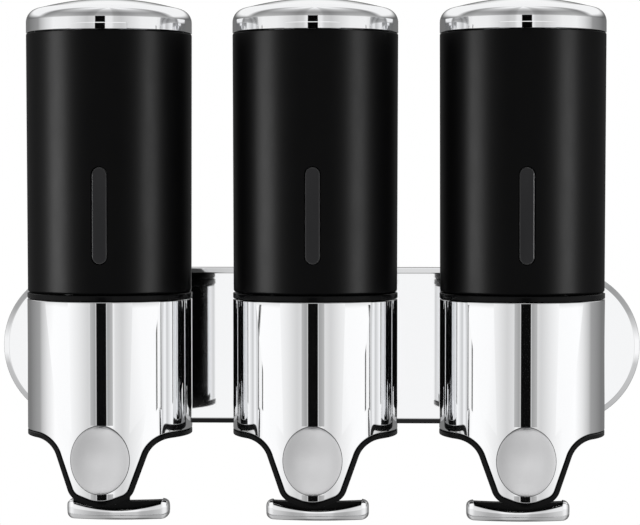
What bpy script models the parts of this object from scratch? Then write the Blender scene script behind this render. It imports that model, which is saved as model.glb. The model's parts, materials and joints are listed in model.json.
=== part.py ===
"""Wall mounted soap dispenser: three lidded soap tanks with squeeze pumps on one wall plate.

Metres, +Z up. The origin is the middle of the plate's back face, the wall is at +Y, and the
user stands at -Y. Each dispenser is built round an upright axis that stands AXIS_REACH out
from the wall, and its pump is worked by a bell-crank lever: pulling the bar forward pushes
the hollow plunger up into the barrel.
"""

import math

import bmesh
import bpy
from mathutils import Vector

MM = 0.001

# Layout
SPACING = 80.5 * MM
AXIS_REACH = 66.0 * MM
JOINT_Z = 22.8 * MM  # where the black tank meets the chrome housing
GAP = 0.3 * MM  # between pieces that touch
OVERSHOOT = 1.0 * MM  # how far a cutter reaches past the piece it cuts
OVERLAP = 0.2 * MM  # how far a shape that is joined on reaches into its piece
ROUND_STEPS = 24

# Tank
TANK_RADIUS = 32.2 * MM
TANK_FOOT_RADIUS = 31.9 * MM
TANK_HEIGHT = 100.1 * MM
TANK_WALL = 1.9 * MM
TANK_FOOT_ROUND = 1.0 * MM
FUNNEL_DROP = 5.0 * MM
NECK_RADIUS = 7.0 * MM
NECK_BORE = 4.2 * MM
NECK_LENGTH = 12.0 * MM

# Collar ring between tank and housing
COLLAR_HEIGHT = 2.1 * MM
COLLAR_RADIUS = 32.1 * MM
COLLAR_WIDTH = 5.0 * MM

# Window
WINDOW_WIDTH = 6.3 * MM
WINDOW_HEIGHT = 37.2 * MM
WINDOW_RISE = 14.1 * MM  # lower end above the joint
WINDOW_THICK = 1.5 * MM
WINDOW_SINK = 0.2 * MM

# Cap
CAP_SKIRT = 5.0 * MM
CAP_RISE = 13.4 * MM
CAP_SHOULDER = 4.8 * MM
CAP_WALL = 1.5 * MM
CAP_PLUG_DEPTH = 8.0 * MM
CAP_PLUG_WALL = 1.6 * MM
CAP_TAB_WIDTH = 21.5 * MM
CAP_TAB_HEIGHT = 2.4 * MM
CAP_TAB_PROUD = 0.35 * MM
SEAL_THICK = 1.2 * MM
SEAL_HEIGHT = 4.0 * MM
SEAL_DROP = 1.5 * MM
CAP_ROOF = 1.2 * MM  # flange between skirt and plug
CAP_TAB_ROOT = 0.8 * MM

# Housing, its tongue and the chrome shield over it
SHELL_RADIUS = 32.1 * MM
SHELL_WALL = 1.6 * MM
SHIELD_THICK = 1.2 * MM
SHIELD_WRAP = 112.0  # degrees each way from the front
SHOULDER_DEPTH = 52.8 * MM
SHOULDER_ROUND = 9.0 * MM
TONGUE_DEPTH = 77.7 * MM
TONGUE_ROOT = 19.68 * MM  # half width where the tapered side would meet the shoulder
TONGUE_TAPER = math.radians(20.0)
TONGUE_CORNER_ABOVE_TIP = 3.2 * MM
TONGUE_CORNER_ROUND = 4.0 * MM
TONGUE_TIP_SLOPE = math.radians(19.7)
BORDER = 2.2 * MM
LEDGE_FALL = 0.01 * MM  # keeps the ledge's two edges apart where it runs out
STEP_TURN = 1e-4  # radians across the step at the shield's side edge
REAR_COLUMNS = 6

# Thumb pad on the tongue
PAD_WIDTH = 21.3 * MM
PAD_HEIGHT = 26.3 * MM
PAD_DEPTH = 59.8 * MM  # centre below the joint
PAD_THICK = 1.5 * MM
PAD_DISH = 0.8 * MM

# Hook on the wall plate and its slot in the housing
BOSS_WIDTH = 28.0 * MM
BOSS_TOP = 18.0 * MM
BOSS_BOTTOM = -18.0 * MM
BOSS_STAND = 5.6 * MM  # how far the boss stands out behind the shell
SLOT_HEAD = 20.0 * MM
SLOT_MOUTH = 12.0 * MM
SLOT_HEAD_DEEP = 3.8 * MM
SLOT_LIP = 3.4 * MM
SLOT_ROOF = 4.0 * MM
HOOK_BASE_WIDTH = 26.0 * MM
HOOK_WAIST = 18.0 * MM
HOOK_CLEAR = 0.4 * MM
HOOK_BASE_PROUD = 3.0 * MM
HOOK_RISE = 1.0 * MM  # foot of the hook above the foot of the boss

# Wall plate
PLATE_LENGTH = 265.4 * MM
PLATE_HEIGHT = 65.0 * MM
PLATE_DEEP = 9.0 * MM
PLATE_WALL = 1.5 * MM
PLATE_EDGE = 1.6 * MM
BRACKET_THICK = 3.0 * MM
BRACKET_INSET = 2.5 * MM
SCREW_SHANK = 2.0 * MM
SCREW_HEAD = 4.0 * MM
SCREW_HEAD_HIGH = 2.4 * MM
SCREW_UP = 16.0 * MM

# Pump
BASE_TOP = -8.0 * MM
BASE_THICK = 2.5 * MM
BASE_CLEAR = 0.4 * MM
BARREL_RADIUS = 9.2 * MM
BARREL_BORE = 6.3 * MM
SOCKET_DEEP = 4.0 * MM
SEAT_THICK = 1.6 * MM
SEAT_HOLE = 3.0 * MM
BALL_RADIUS = 3.9 * MM
BARREL_FOOT = -10.5 * MM
BARREL_FLOOR = 2.0 * MM
STEM_RADIUS = 3.8 * MM
STEM_BORE = 1.9 * MM
STEM_END = -43.0 * MM
PISTON_HIGH = 2.6 * MM
FLANGE_RADIUS = 7.4 * MM
FLANGE_THICK = 2.0 * MM
PIVOT_BACK = 22.0 * MM  # lever pivot behind the dispenser axis
PIVOT_Z = -25.8 * MM
NOSE_RADIUS = 2.5 * MM
SPOUT_LENGTH = 7.0 * MM
SPOUT_COLLAR = 2.0 * MM
SPOUT_TIP_RADIUS = 2.6 * MM
SPOUT_TIP_BORE = 1.4 * MM
SPRING_WIRE = 0.45 * MM
SPRING_TURNS = 3
SPRING_SIDES = 8  # points a turn
SPRING_CLEAR = 0.9 * MM
PIN_RADIUS = 1.5 * MM
PIN_HALF = 12.0 * MM
LUG_IN = 8.4 * MM
LUG_OUT = 11.4 * MM
LUG_ROUND = 3.6 * MM

# Lever and pull bar
HUB_RADIUS = 3.4 * MM
ARM_WIDTH = 10.0 * MM
ARM_THICK = 3.6 * MM
FORK_THICK = 2.5 * MM
FORK_DROP = 3.0 * MM
FORK_REACH = 5.0 * MM
FORK_CLEAR = 0.8 * MM
SHANK_ROOT = 2.0 * MM
BAR_LENGTH = 41.3 * MM
BAR_BACK = 17.5 * MM  # front of the bar, at its middle, behind the dispenser axis
BAR_BOTTOM = 90.1 * MM  # below the joint
BAR_HEIGHT = 7.8 * MM
BAR_DEEP = 8.0 * MM
BAR_BOW = 4.0 * MM
BAR_SCOOP = 2.1 * MM
BAR_ROUND = 3.0 * MM
BAR_WALL = 1.8 * MM
BAR_EDGE = 1.0 * MM
CORE_LENGTH = 35.4 * MM
CORE_PROUD = 1.4 * MM

SMOOTH_ANGLE = math.radians(35.0)
COLUMN_LEAST = 0.4 * MM  # between columns of the housing's front
COLUMN_MOST = 3.4 * MM


for old in list(bpy.data.objects):
    bpy.data.objects.remove(old)


def material(name, colour, roughness, metallic):
    made = bpy.data.materials.new(name)
    made.use_nodes = True
    shader = made.node_tree.nodes["Principled BSDF"]
    shader.inputs["Base Color"].default_value = (*colour, 1.0)
    shader.inputs["Roughness"].default_value = roughness
    shader.inputs["Metallic"].default_value = metallic
    return made


CHROME = (0.78, 0.79, 0.81), 0.04, 1.0
SATIN_BLACK = (0.012, 0.012, 0.014), 0.35, 0.0
DEEP_BLACK = (0.008, 0.008, 0.009), 0.28, 0.0
SATIN_SILVER = (0.62, 0.62, 0.65), 0.38, 1.0
SMOKED = (0.03, 0.03, 0.033), 0.12, 0.0
RUBBER = (0.02, 0.02, 0.02), 0.8, 0.0
ACETAL = (0.82, 0.82, 0.8), 0.45, 0.0
STEEL = (0.6, 0.6, 0.6), 0.3, 1.0


def holder(name, place, parent=None):
    """An empty at a body's joint axis or reference point."""
    made = bpy.data.objects.new(name, None)
    bpy.context.scene.collection.objects.link(made)
    made.parent = parent
    made.location = place
    return made


def add(name, mesh, finish, parent=None, place=(0.0, 0.0, 0.0)):
    made = bpy.data.objects.new(name, mesh)
    bpy.context.scene.collection.objects.link(made)
    mesh.materials.append(material(name, *finish))
    made.parent = parent
    made.location = place
    return made


def from_bmesh(name, bm):
    mesh = bpy.data.meshes.new(name)
    bmesh.ops.remove_doubles(bm, verts=bm.verts, dist=1e-7)
    bmesh.ops.recalc_face_normals(bm, faces=bm.faces)
    bm.to_mesh(mesh)
    bm.free()
    mesh.shade_smooth()
    mesh.set_sharp_from_angle(angle=SMOOTH_ANGLE)
    return mesh


def turned(name, outline, finish, parent, steps=ROUND_STEPS, place=(0.0, 0.0, 0.0)):
    """A turned piece: (radius, height) points down its outer side, round the Z axis."""
    mesh = bpy.data.meshes.new(name)
    solid = outline[0][0] == 0.0
    last = len(outline) - 1
    edges = [(i, i + 1) for i in range(last)]
    if not solid:
        edges.append((last, 0))
    mesh.from_pydata([(r, 0.0, z) for r, z in outline], edges, [])
    made = add(name, mesh, finish, parent, place)
    screw = made.modifiers.new("turn", "SCREW")
    screw.steps = steps
    screw.render_steps = steps
    screw.use_merge_vertices = True
    screw.merge_threshold = 0.00001
    screw.use_smooth_shade = True
    return made


def lofted(name, rings, closed_run):
    """A mesh through equal rings of points, joined end to start or capped at both ends."""
    bm = bmesh.new()
    rows = [[bm.verts.new(p) for p in ring] for ring in rings]
    pairs = list(zip(rows, rows[1:]))
    if closed_run:
        pairs.append((rows[-1], rows[0]))
    for one, two in pairs:
        for i in range(len(one)):
            j = (i + 1) % len(one)
            bm.faces.new((one[i], one[j], two[j], two[i]))
    if not closed_run:
        bm.faces.new(rows[0])
        bm.faces.new(rows[-1])
    return from_bmesh(name, bm)


def prism(name, outline, axis, low, high):
    """A flat outline pushed along an axis. The outline gives the other two coordinates in order."""
    bm = bmesh.new()

    def corner(point, along):
        values = list(point)
        values.insert("XYZ".index(axis), along)
        return bm.verts.new(values)

    face = bm.faces.new([corner(p, low) for p in outline])
    pushed = bmesh.ops.extrude_face_region(bm, geom=[face])["geom"]
    shift = Vector([high - low if axis == letter else 0.0 for letter in "XYZ"])
    moved = [v for v in pushed if isinstance(v, bmesh.types.BMVert)]
    bmesh.ops.translate(bm, verts=moved, vec=shift)
    return from_bmesh(name, bm)


def box(x0, x1, y0, y1):
    return [(x0, y0), (x1, y0), (x1, y1), (x0, y1)]


def stadium(length, height, steps):
    """A slot outline about the origin, longest along its first coordinate."""
    radius = height / 2
    centre = length / 2 - radius
    points = []
    for side, first in ((1, -90), (-1, 90)):
        for k in range(steps + 1):
            turn = math.radians(first + 180 * k / steps)
            points.append((side * centre + radius * math.cos(turn), radius * math.sin(turn)))
    return points


def circle(radius, steps, across=0.0, up=0.0):
    turns = [2 * math.pi * k / steps for k in range(steps)]
    return [(across + radius * math.cos(t), up + radius * math.sin(t)) for t in turns]


def combine(target, mesh, how):
    """Cuts a mesh out of the target, or joins it on, with a Boolean modifier."""
    tool = bpy.data.objects.new(target.name + "_" + mesh.name, mesh)
    bpy.context.scene.collection.objects.link(tool)
    tool.parent = target
    tool.hide_render = True
    tool.display_type = "WIRE"
    change = target.modifiers.new(how.lower(), "BOOLEAN")
    change.operation = how
    change.solver = "EXACT"
    change.object = tool


def rounded(corners, radii, step):
    """The corners joined by straight lines, each rounded by its radius, with points and normals."""
    path = []
    for i, (corner, radius) in enumerate(zip(corners, radii)):
        here = Vector(corner)
        if radius == 0.0:
            other = Vector(corners[1] if i == 0 else corners[i - 1])
            run = (other - here) if i == 0 else (here - other)
            path.append((here, Vector((-run.y, run.x)).normalized()))
            continue
        before = (here - Vector(corners[i - 1])).normalized()
        after = (Vector(corners[i + 1]) - here).normalized()
        turn = before.angle_signed(after)
        start = here - before * radius * math.tan(abs(turn) / 2)
        side = math.copysign(1.0, -turn)
        normal = Vector((-before.y, before.x)) * side
        centre = start + normal * radius
        count = max(2, math.ceil(abs(turn) / step))
        for k in range(count + 1):
            angle = side * abs(turn) * k / count
            spoke = Vector((-normal.x * math.cos(angle) + normal.y * math.sin(angle),
                            -normal.x * math.sin(angle) - normal.y * math.cos(angle)))
            path.append((centre + spoke * radius, -spoke * side))
    return path


def edge_path():
    """Half of the housing's lower edge, tip to side, as (half width, depth) points and normals."""
    corner_depth = TONGUE_DEPTH - TONGUE_CORNER_ABOVE_TIP
    corner_half = TONGUE_ROOT - math.tan(TONGUE_TAPER) * (corner_depth - SHOULDER_DEPTH)
    peak_depth = corner_depth + corner_half * math.tan(TONGUE_TIP_SLOPE)
    corners = [(-corner_half, corner_depth), (0.0, peak_depth), (corner_half, corner_depth),
               (TONGUE_ROOT, SHOULDER_DEPTH), (SHELL_RADIUS, SHOULDER_DEPTH)]
    tip_round = (peak_depth - TONGUE_DEPTH) / (1 / math.cos(TONGUE_TIP_SLOPE) - 1)
    radii = [0.0, tip_round, TONGUE_CORNER_ROUND, SHOULDER_ROUND, 0.0]
    path = rounded(corners, radii, math.radians(12.0))[1:]
    return [(p, n) for p, n in path if p.x > -1e-9]


EDGE = edge_path()
EDGE_BLACK = [(p.x, p.y) for p, n in EDGE]
EDGE_CHROME = [(p.x - n.x * BORDER, p.y - n.y * BORDER) for p, n in EDGE]


def depth_at(edge, across):
    """Depth below the joint of an edge at a distance from the middle."""
    if across <= edge[0][0]:
        return edge[0][1]
    for (x0, d0), (x1, d1) in zip(edge, edge[1:]):
        if x0 <= across <= x1:
            return d0 + (d1 - d0) * (across - x0) / max(x1 - x0, 1e-9)
    return edge[-1][1]


def front_angles():
    """Column angles from the front middle to the side, close where the edge turns."""
    widths = [0.0]
    for x, _ in EDGE_BLACK[:-1]:
        run = x - widths[-1]
        if run < COLUMN_LEAST:
            continue
        count = math.ceil(run / COLUMN_MOST)
        start = widths[-1]
        widths += [start + run * (k + 1) / count for k in range(count)]
    angles = [math.asin(w / SHELL_RADIUS) for w in widths]
    last = angles[-1]
    count = math.ceil((math.pi / 2 - last) / math.radians(11.25))
    angles += [last + (math.pi / 2 - last) * (k + 1) / count for k in range(count)]
    return angles


FRONT = front_angles()


def on_shell(angle, radius, height):
    """A point at an angle round the axis from the front (-Y), towards +X."""
    return (radius * math.sin(angle), -radius * math.cos(angle), height)


def edge_height(edge, angle):
    across = SHELL_RADIUS * abs(math.sin(angle))
    if abs(angle) > math.pi / 2:
        return JOINT_Z - edge[-1][1]
    return JOINT_Z - depth_at(edge, across)


def make_shield(prefix, parent):
    """Chrome skin over the front of the housing, down to the border of its lower edge."""
    wrap = math.radians(SHIELD_WRAP)
    side = [math.pi / 2 + (wrap - math.pi / 2) * k / 2 for k in (1, 2)]
    half = FRONT + side
    angles = [-a for a in reversed(half[1:])] + half
    inner = SHELL_RADIUS - SHIELD_THICK
    top = JOINT_Z
    rings = []
    for a in angles:
        low = edge_height(EDGE_CHROME, a)
        rings.append([on_shell(a, SHELL_RADIUS, top), on_shell(a, SHELL_RADIUS, low),
                      on_shell(a, inner, low), on_shell(a, inner, top)])
    return add(prefix + "front_shield", lofted("front_shield", rings, False), CHROME, parent)


def make_housing(prefix, parent):
    """Black shell with the tongue, a raised border under the shield, and the hanging boss."""
    wrap = math.radians(SHIELD_WRAP) + GAP / SHELL_RADIUS
    under = SHELL_RADIUS - SHIELD_THICK - GAP
    inner = under - SHELL_WALL
    side = [math.pi / 2 + (wrap - math.pi / 2) / 2, wrap]
    half = [(a, False) for a in FRONT + side]
    half += [(wrap + STEP_TURN + (math.pi - wrap) * k / REAR_COLUMNS, True)
             for k in range(REAR_COLUMNS)]
    columns = [(-a, rear) for a, rear in reversed(half[1:])] + half
    columns.append((math.pi, True))
    rings = []
    for a, rear in columns:
        bottom = edge_height(EDGE_BLACK, a)
        ledge = edge_height(EDGE_CHROME, a) - GAP
        outer = SHELL_RADIUS if rear else under
        rings.append([on_shell(a, outer, JOINT_Z), on_shell(a, outer, ledge),
                      on_shell(a, SHELL_RADIUS, ledge - LEDGE_FALL), on_shell(a, SHELL_RADIUS, bottom),
                      on_shell(a, inner, bottom), on_shell(a, inner, JOINT_Z)])
    made = add(prefix + "lower_housing", lofted("lower_housing", rings, True), DEEP_BLACK, parent)
    back = SHELL_RADIUS + BOSS_STAND
    boss = prism("boss", box(-BOSS_WIDTH / 2, BOSS_WIDTH / 2, inner - OVERLAP, back),
                 "Z", BOSS_BOTTOM, BOSS_TOP)
    combine(made, boss, "UNION")
    head = SLOT_HEAD / 2 + HOOK_CLEAR
    mouth = SLOT_MOUTH / 2 + HOOK_CLEAR
    lip = back - SLOT_LIP
    tee = [(-head, lip - SLOT_HEAD_DEEP), (head, lip - SLOT_HEAD_DEEP), (head, lip), (mouth, lip),
           (mouth, back + OVERSHOOT), (-mouth, back + OVERSHOOT), (-mouth, lip), (-head, lip)]
    slot = prism("slot", tee, "Z", JOINT_Z - SHOULDER_DEPTH - OVERSHOOT, BOSS_TOP - SLOT_ROOF)
    combine(made, slot, "DIFFERENCE")


def make_pad(prefix, parent):
    """Dished oval pad that lies on the tongue's chrome."""
    bed = SHELL_RADIUS + GAP
    steps = 20
    shares = (1.0, 0.97, 0.6, 0.25)
    heights = (PAD_THICK * 0.4, PAD_THICK, PAD_THICK - PAD_DISH * 0.7, PAD_THICK - PAD_DISH)
    centre = JOINT_Z - PAD_DEPTH
    bm = bmesh.new()

    def point(share, turn, radius):
        across = PAD_WIDTH / 2 * share * math.sin(turn)
        up = PAD_HEIGHT / 2 * share * math.cos(turn)
        return bm.verts.new(on_shell(math.asin(across / SHELL_RADIUS), radius, centre + up))

    turns = [2 * math.pi * k / steps for k in range(steps)]
    rows = [[point(0.5, t, bed) for t in turns], [point(1.0, t, bed) for t in turns]]
    rows += [[point(s, t, bed + h) for t in turns] for s, h in zip(shares, heights)]
    for one, two in zip(rows, rows[1:]):
        for i in range(steps):
            j = (i + 1) % steps
            bm.faces.new((one[i], one[j], two[j], two[i]))
    for row, radius in ((rows[0], bed), (rows[-1], bed + PAD_THICK - PAD_DISH)):
        middle = bm.verts.new((0.0, -radius, centre))
        for i in range(steps):
            bm.faces.new((middle, row[i], row[(i + 1) % steps]))
    add(prefix + "thumb_pad", from_bmesh("thumb_pad", bm), SATIN_SILVER, parent)


TANK_FOOT_Z = JOINT_Z + GAP + COLLAR_HEIGHT + GAP
TANK_TOP_Z = TANK_FOOT_Z + TANK_HEIGHT
TANK_BORE = TANK_FOOT_RADIUS - TANK_WALL
NECK_END_Z = TANK_FOOT_Z - NECK_LENGTH


def make_tank(prefix, parent):
    """Soap tank: plain tube with a funnel floor and an outlet neck, and its level window."""
    floor = TANK_FOOT_Z + TANK_WALL
    outline = [(TANK_RADIUS, TANK_TOP_Z), (TANK_FOOT_RADIUS, TANK_FOOT_Z + TANK_FOOT_ROUND),
               (TANK_FOOT_RADIUS - TANK_FOOT_ROUND, TANK_FOOT_Z), (NECK_RADIUS, TANK_FOOT_Z),
               (NECK_RADIUS, NECK_END_Z), (NECK_BORE, NECK_END_Z), (NECK_BORE, floor),
               (TANK_BORE, floor + FUNNEL_DROP), (TANK_BORE, TANK_TOP_Z)]
    tank = turned(prefix + "tank", outline, SATIN_BLACK, parent)
    middle = JOINT_Z + WINDOW_RISE + WINDOW_HEIGHT / 2
    opening = [(x, middle + z) for z, x in stadium(WINDOW_HEIGHT, WINDOW_WIDTH, 6)]
    cut = prism("window_cut", opening, "Y", -TANK_RADIUS - OVERSHOOT, -TANK_BORE + 2 * OVERSHOOT)
    combine(tank, cut, "DIFFERENCE")
    pane = [(x, middle + z) for z, x in
            stadium(WINDOW_HEIGHT - 2 * GAP, WINDOW_WIDTH - 2 * GAP, 6)]
    front = -TANK_FOOT_RADIUS + WINDOW_SINK
    add(prefix + "window", prism("window", pane, "Y", front, front + WINDOW_THICK), SMOKED, parent)


def make_collar(prefix, parent):
    low = JOINT_Z + GAP
    inside = COLLAR_RADIUS - COLLAR_WIDTH
    outline = [(COLLAR_RADIUS, low + COLLAR_HEIGHT), (COLLAR_RADIUS, low), (inside, low),
               (inside, low + COLLAR_HEIGHT)]
    turned(prefix + "collar_ring", outline, DEEP_BLACK, parent)


def dome_outline(base, radius, rise, shoulder):
    """Skirt, rounded shoulder and shallow dome, from the middle of the top down the side."""
    chord = radius - shoulder * 0.75
    lift = rise - CAP_SKIRT - shoulder * 0.95
    sphere = (chord ** 2 + lift ** 2) / (2 * lift)
    points = []
    for share in (0.0, 0.4, 0.75):
        r = chord * share
        points.append((r, base + rise - sphere + math.sqrt(sphere ** 2 - r ** 2)))
    for k in range(4):
        turn = math.radians(80 - 80 * k / 3)
        r = radius - shoulder + shoulder * math.cos(turn)
        points.append((r, base + CAP_SKIRT + shoulder * math.sin(turn)))
    return points


def make_cap(prefix, parent):
    """Chrome lid: domed shell with a plug skirt that carries the seal, and a front tab."""
    base = TANK_TOP_Z + GAP
    outer = dome_outline(base, TANK_RADIUS, CAP_RISE, CAP_SHOULDER)
    under = dome_outline(base, TANK_RADIUS - CAP_WALL, CAP_RISE - CAP_WALL, CAP_SHOULDER)
    plug = TANK_BORE - GAP - SEAL_THICK - GAP
    plug_in = plug - CAP_PLUG_WALL
    roof = base + CAP_SKIRT - CAP_ROOF
    outline = outer + [(TANK_RADIUS, base), (TANK_RADIUS - CAP_WALL, base),
                       (TANK_RADIUS - CAP_WALL, roof), (plug, roof), (plug, base - CAP_PLUG_DEPTH),
                       (plug_in, base - CAP_PLUG_DEPTH), (plug_in, roof)]
    crown = [(r, z) for r, z in under if r < plug_in - CAP_WALL]
    outline += list(reversed(crown))
    cap = turned(prefix + "cap", outline, CHROME, parent)
    reach = TANK_RADIUS + CAP_TAB_PROUD
    half = math.asin(CAP_TAB_WIDTH / 2 / reach)
    turns = [half * (2 * k / 4 - 1) for k in range(5)]
    arc = [on_shell(t, reach, 0.0)[:2] for t in turns]
    arc += [on_shell(t, TANK_RADIUS - CAP_TAB_ROOT, 0.0)[:2] for t in reversed(turns)]
    combine(cap, prism("tab", arc, "Z", base, base + CAP_TAB_HEIGHT), "UNION")
    seal_top = base - SEAL_DROP
    outside = TANK_BORE - GAP
    seal = [(outside, seal_top), (outside, seal_top - SEAL_HEIGHT),
            (plug + GAP, seal_top - SEAL_HEIGHT), (plug + GAP, seal_top)]
    turned(prefix + "cap_seal", seal, RUBBER, parent, 24)


SEAT_TOP = NECK_END_Z - GAP
FLANGE_TOP = PIVOT_Z + NOSE_RADIUS + GAP + FLANGE_THICK


def make_pump(prefix, parent):
    """Base plate with hinge lugs, barrel with its ball seat, the ball and the hinge pin."""
    base_radius = SHELL_RADIUS - SHIELD_THICK - GAP - SHELL_WALL - GAP - BASE_CLEAR
    hole = BARREL_RADIUS + GAP
    outline = [(base_radius, BASE_TOP), (base_radius, BASE_TOP - BASE_THICK),
               (hole, BASE_TOP - BASE_THICK), (hole, BASE_TOP)]
    base = turned(prefix + "pump_base", outline, DEEP_BLACK, parent)
    for side, label in ((-1, "left"), (1, "right")):
        low = min(side * LUG_IN, side * LUG_OUT)
        high = max(side * LUG_IN, side * LUG_OUT)
        tail = [(PIVOT_BACK + LUG_ROUND * math.cos(t), PIVOT_Z + LUG_ROUND * math.sin(t))
                for t in (math.pi * (1 + k / 4) for k in range(5))]
        shape = [(PIVOT_BACK - LUG_ROUND, BASE_TOP - BASE_THICK / 2), *tail,
                 (PIVOT_BACK + LUG_ROUND, BASE_TOP - BASE_THICK / 2)]
        combine(base, prism("lug_" + label, shape, "X", low, high), "UNION")
    bore = prism("pin_bore", circle(PIN_RADIUS + GAP, 12, PIVOT_BACK, PIVOT_Z), "X",
                 -PIN_HALF - OVERSHOOT, PIN_HALF + OVERSHOOT)
    combine(base, bore, "DIFFERENCE")
    pin = prism("lever_pin", circle(PIN_RADIUS, 12), "X", -PIN_HALF, PIN_HALF)
    add(prefix + "lever_pin", pin, STEEL, parent, (0.0, PIVOT_BACK, PIVOT_Z))
    seat = SEAT_TOP - SEAT_THICK
    barrel = [(BARREL_RADIUS, SEAT_TOP + SOCKET_DEEP), (BARREL_RADIUS, BARREL_FOOT),
              (STEM_RADIUS + GAP, BARREL_FOOT), (STEM_RADIUS + GAP, BARREL_FOOT + BARREL_FLOOR),
              (BARREL_BORE, BARREL_FOOT + BARREL_FLOOR), (BARREL_BORE, seat), (SEAT_HOLE, seat),
              (SEAT_HOLE, SEAT_TOP), (NECK_RADIUS + GAP, SEAT_TOP),
              (NECK_RADIUS + GAP, SEAT_TOP + SOCKET_DEEP)]
    turned(prefix + "pump_barrel", barrel, ACETAL, parent, 16)
    ball = [(BALL_RADIUS * math.sin(math.pi * k / 6), BALL_RADIUS * math.cos(math.pi * k / 6))
            for k in range(1, 6)]
    ball = [(0.0, BALL_RADIUS), *ball, (0.0, -BALL_RADIUS)]
    turned(prefix + "inlet_ball", ball, STEEL, parent, 12, (0.0, 0.0, seat - GAP - BALL_RADIUS))


def make_plunger(prefix, parent, body):
    """Hollow plunger with piston head and lift flange, its rubber spout, and the spring."""
    head = BARREL_FOOT + BARREL_FLOOR + GAP
    flange = FLANGE_TOP - FLANGE_THICK
    piston = BARREL_BORE - GAP
    outline = [(piston, head + PISTON_HIGH), (piston, head), (STEM_RADIUS, head),
               (STEM_RADIUS, FLANGE_TOP), (FLANGE_RADIUS, FLANGE_TOP), (FLANGE_RADIUS, flange),
               (STEM_RADIUS, flange), (STEM_RADIUS, STEM_END), (STEM_BORE, STEM_END),
               (STEM_BORE, head + PISTON_HIGH)]
    turned(prefix + "plunger", outline, ACETAL, parent, 16)
    top = STEM_END - GAP
    tip = top - SPOUT_LENGTH
    spout = [(STEM_RADIUS, top), (STEM_RADIUS, top - SPOUT_COLLAR), (SPOUT_TIP_RADIUS, tip),
             (SPOUT_TIP_BORE, tip), (STEM_BORE, top - SPOUT_COLLAR), (STEM_BORE, top)]
    turned(prefix + "spout", spout, RUBBER, parent, 12)
    low = FLANGE_TOP + GAP + SPRING_WIRE
    high = BARREL_FOOT - GAP - SPRING_WIRE
    coil = STEM_RADIUS + SPRING_CLEAR + SPRING_WIRE
    line = bpy.data.curves.new("coil", "CURVE")
    line.dimensions = "3D"
    line.bevel_depth = SPRING_WIRE
    line.bevel_resolution = 0
    line.use_fill_caps = True
    steps = SPRING_SIDES * SPRING_TURNS
    track = line.splines.new("POLY")
    track.points.add(steps)
    for k in range(steps + 1):
        turn = 2 * math.pi * SPRING_TURNS * k / steps
        height = low + (high - low) * k / steps
        track.points[k].co = (coil * math.cos(turn), coil * math.sin(turn), height, 1.0)
    spring = bpy.data.objects.new(prefix + "return_spring", line)
    bpy.context.scene.collection.objects.link(spring)
    line.materials.append(material(prefix + "return_spring", *STEEL))
    spring.parent = body


BAR_LOW = JOINT_Z - BAR_BOTTOM - PIVOT_Z  # heights and reaches from here on are from the pivot
BAR_TOP = BAR_LOW + BAR_HEIGHT
BAR_FRONT = BAR_BACK - PIVOT_BACK


def bow(across):
    """How far the bar has curved back at a distance from its middle."""
    half = BAR_LENGTH / 2
    radius = (half ** 2 + BAR_BOW ** 2) / (2 * BAR_BOW)
    return radius - math.sqrt(radius ** 2 - across ** 2)


def bar_section(across, shrink, top):
    """One slice of the pull bar, rounded at its top front, from front bottom upwards."""
    front = BAR_FRONT + bow(across) + shrink
    back = BAR_FRONT + bow(across) + BAR_DEEP - shrink
    low = BAR_LOW + shrink
    high = top - shrink
    cut = BAR_ROUND * 0.6
    edge = BAR_EDGE
    return [(across, front, low + edge), (across, front, high - cut),
            (across, front + cut / 3, high), (across, back - edge, high),
            (across, back, high - edge), (across, back, low + edge),
            (across, back - edge, low), (across, front + edge, low)]


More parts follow.
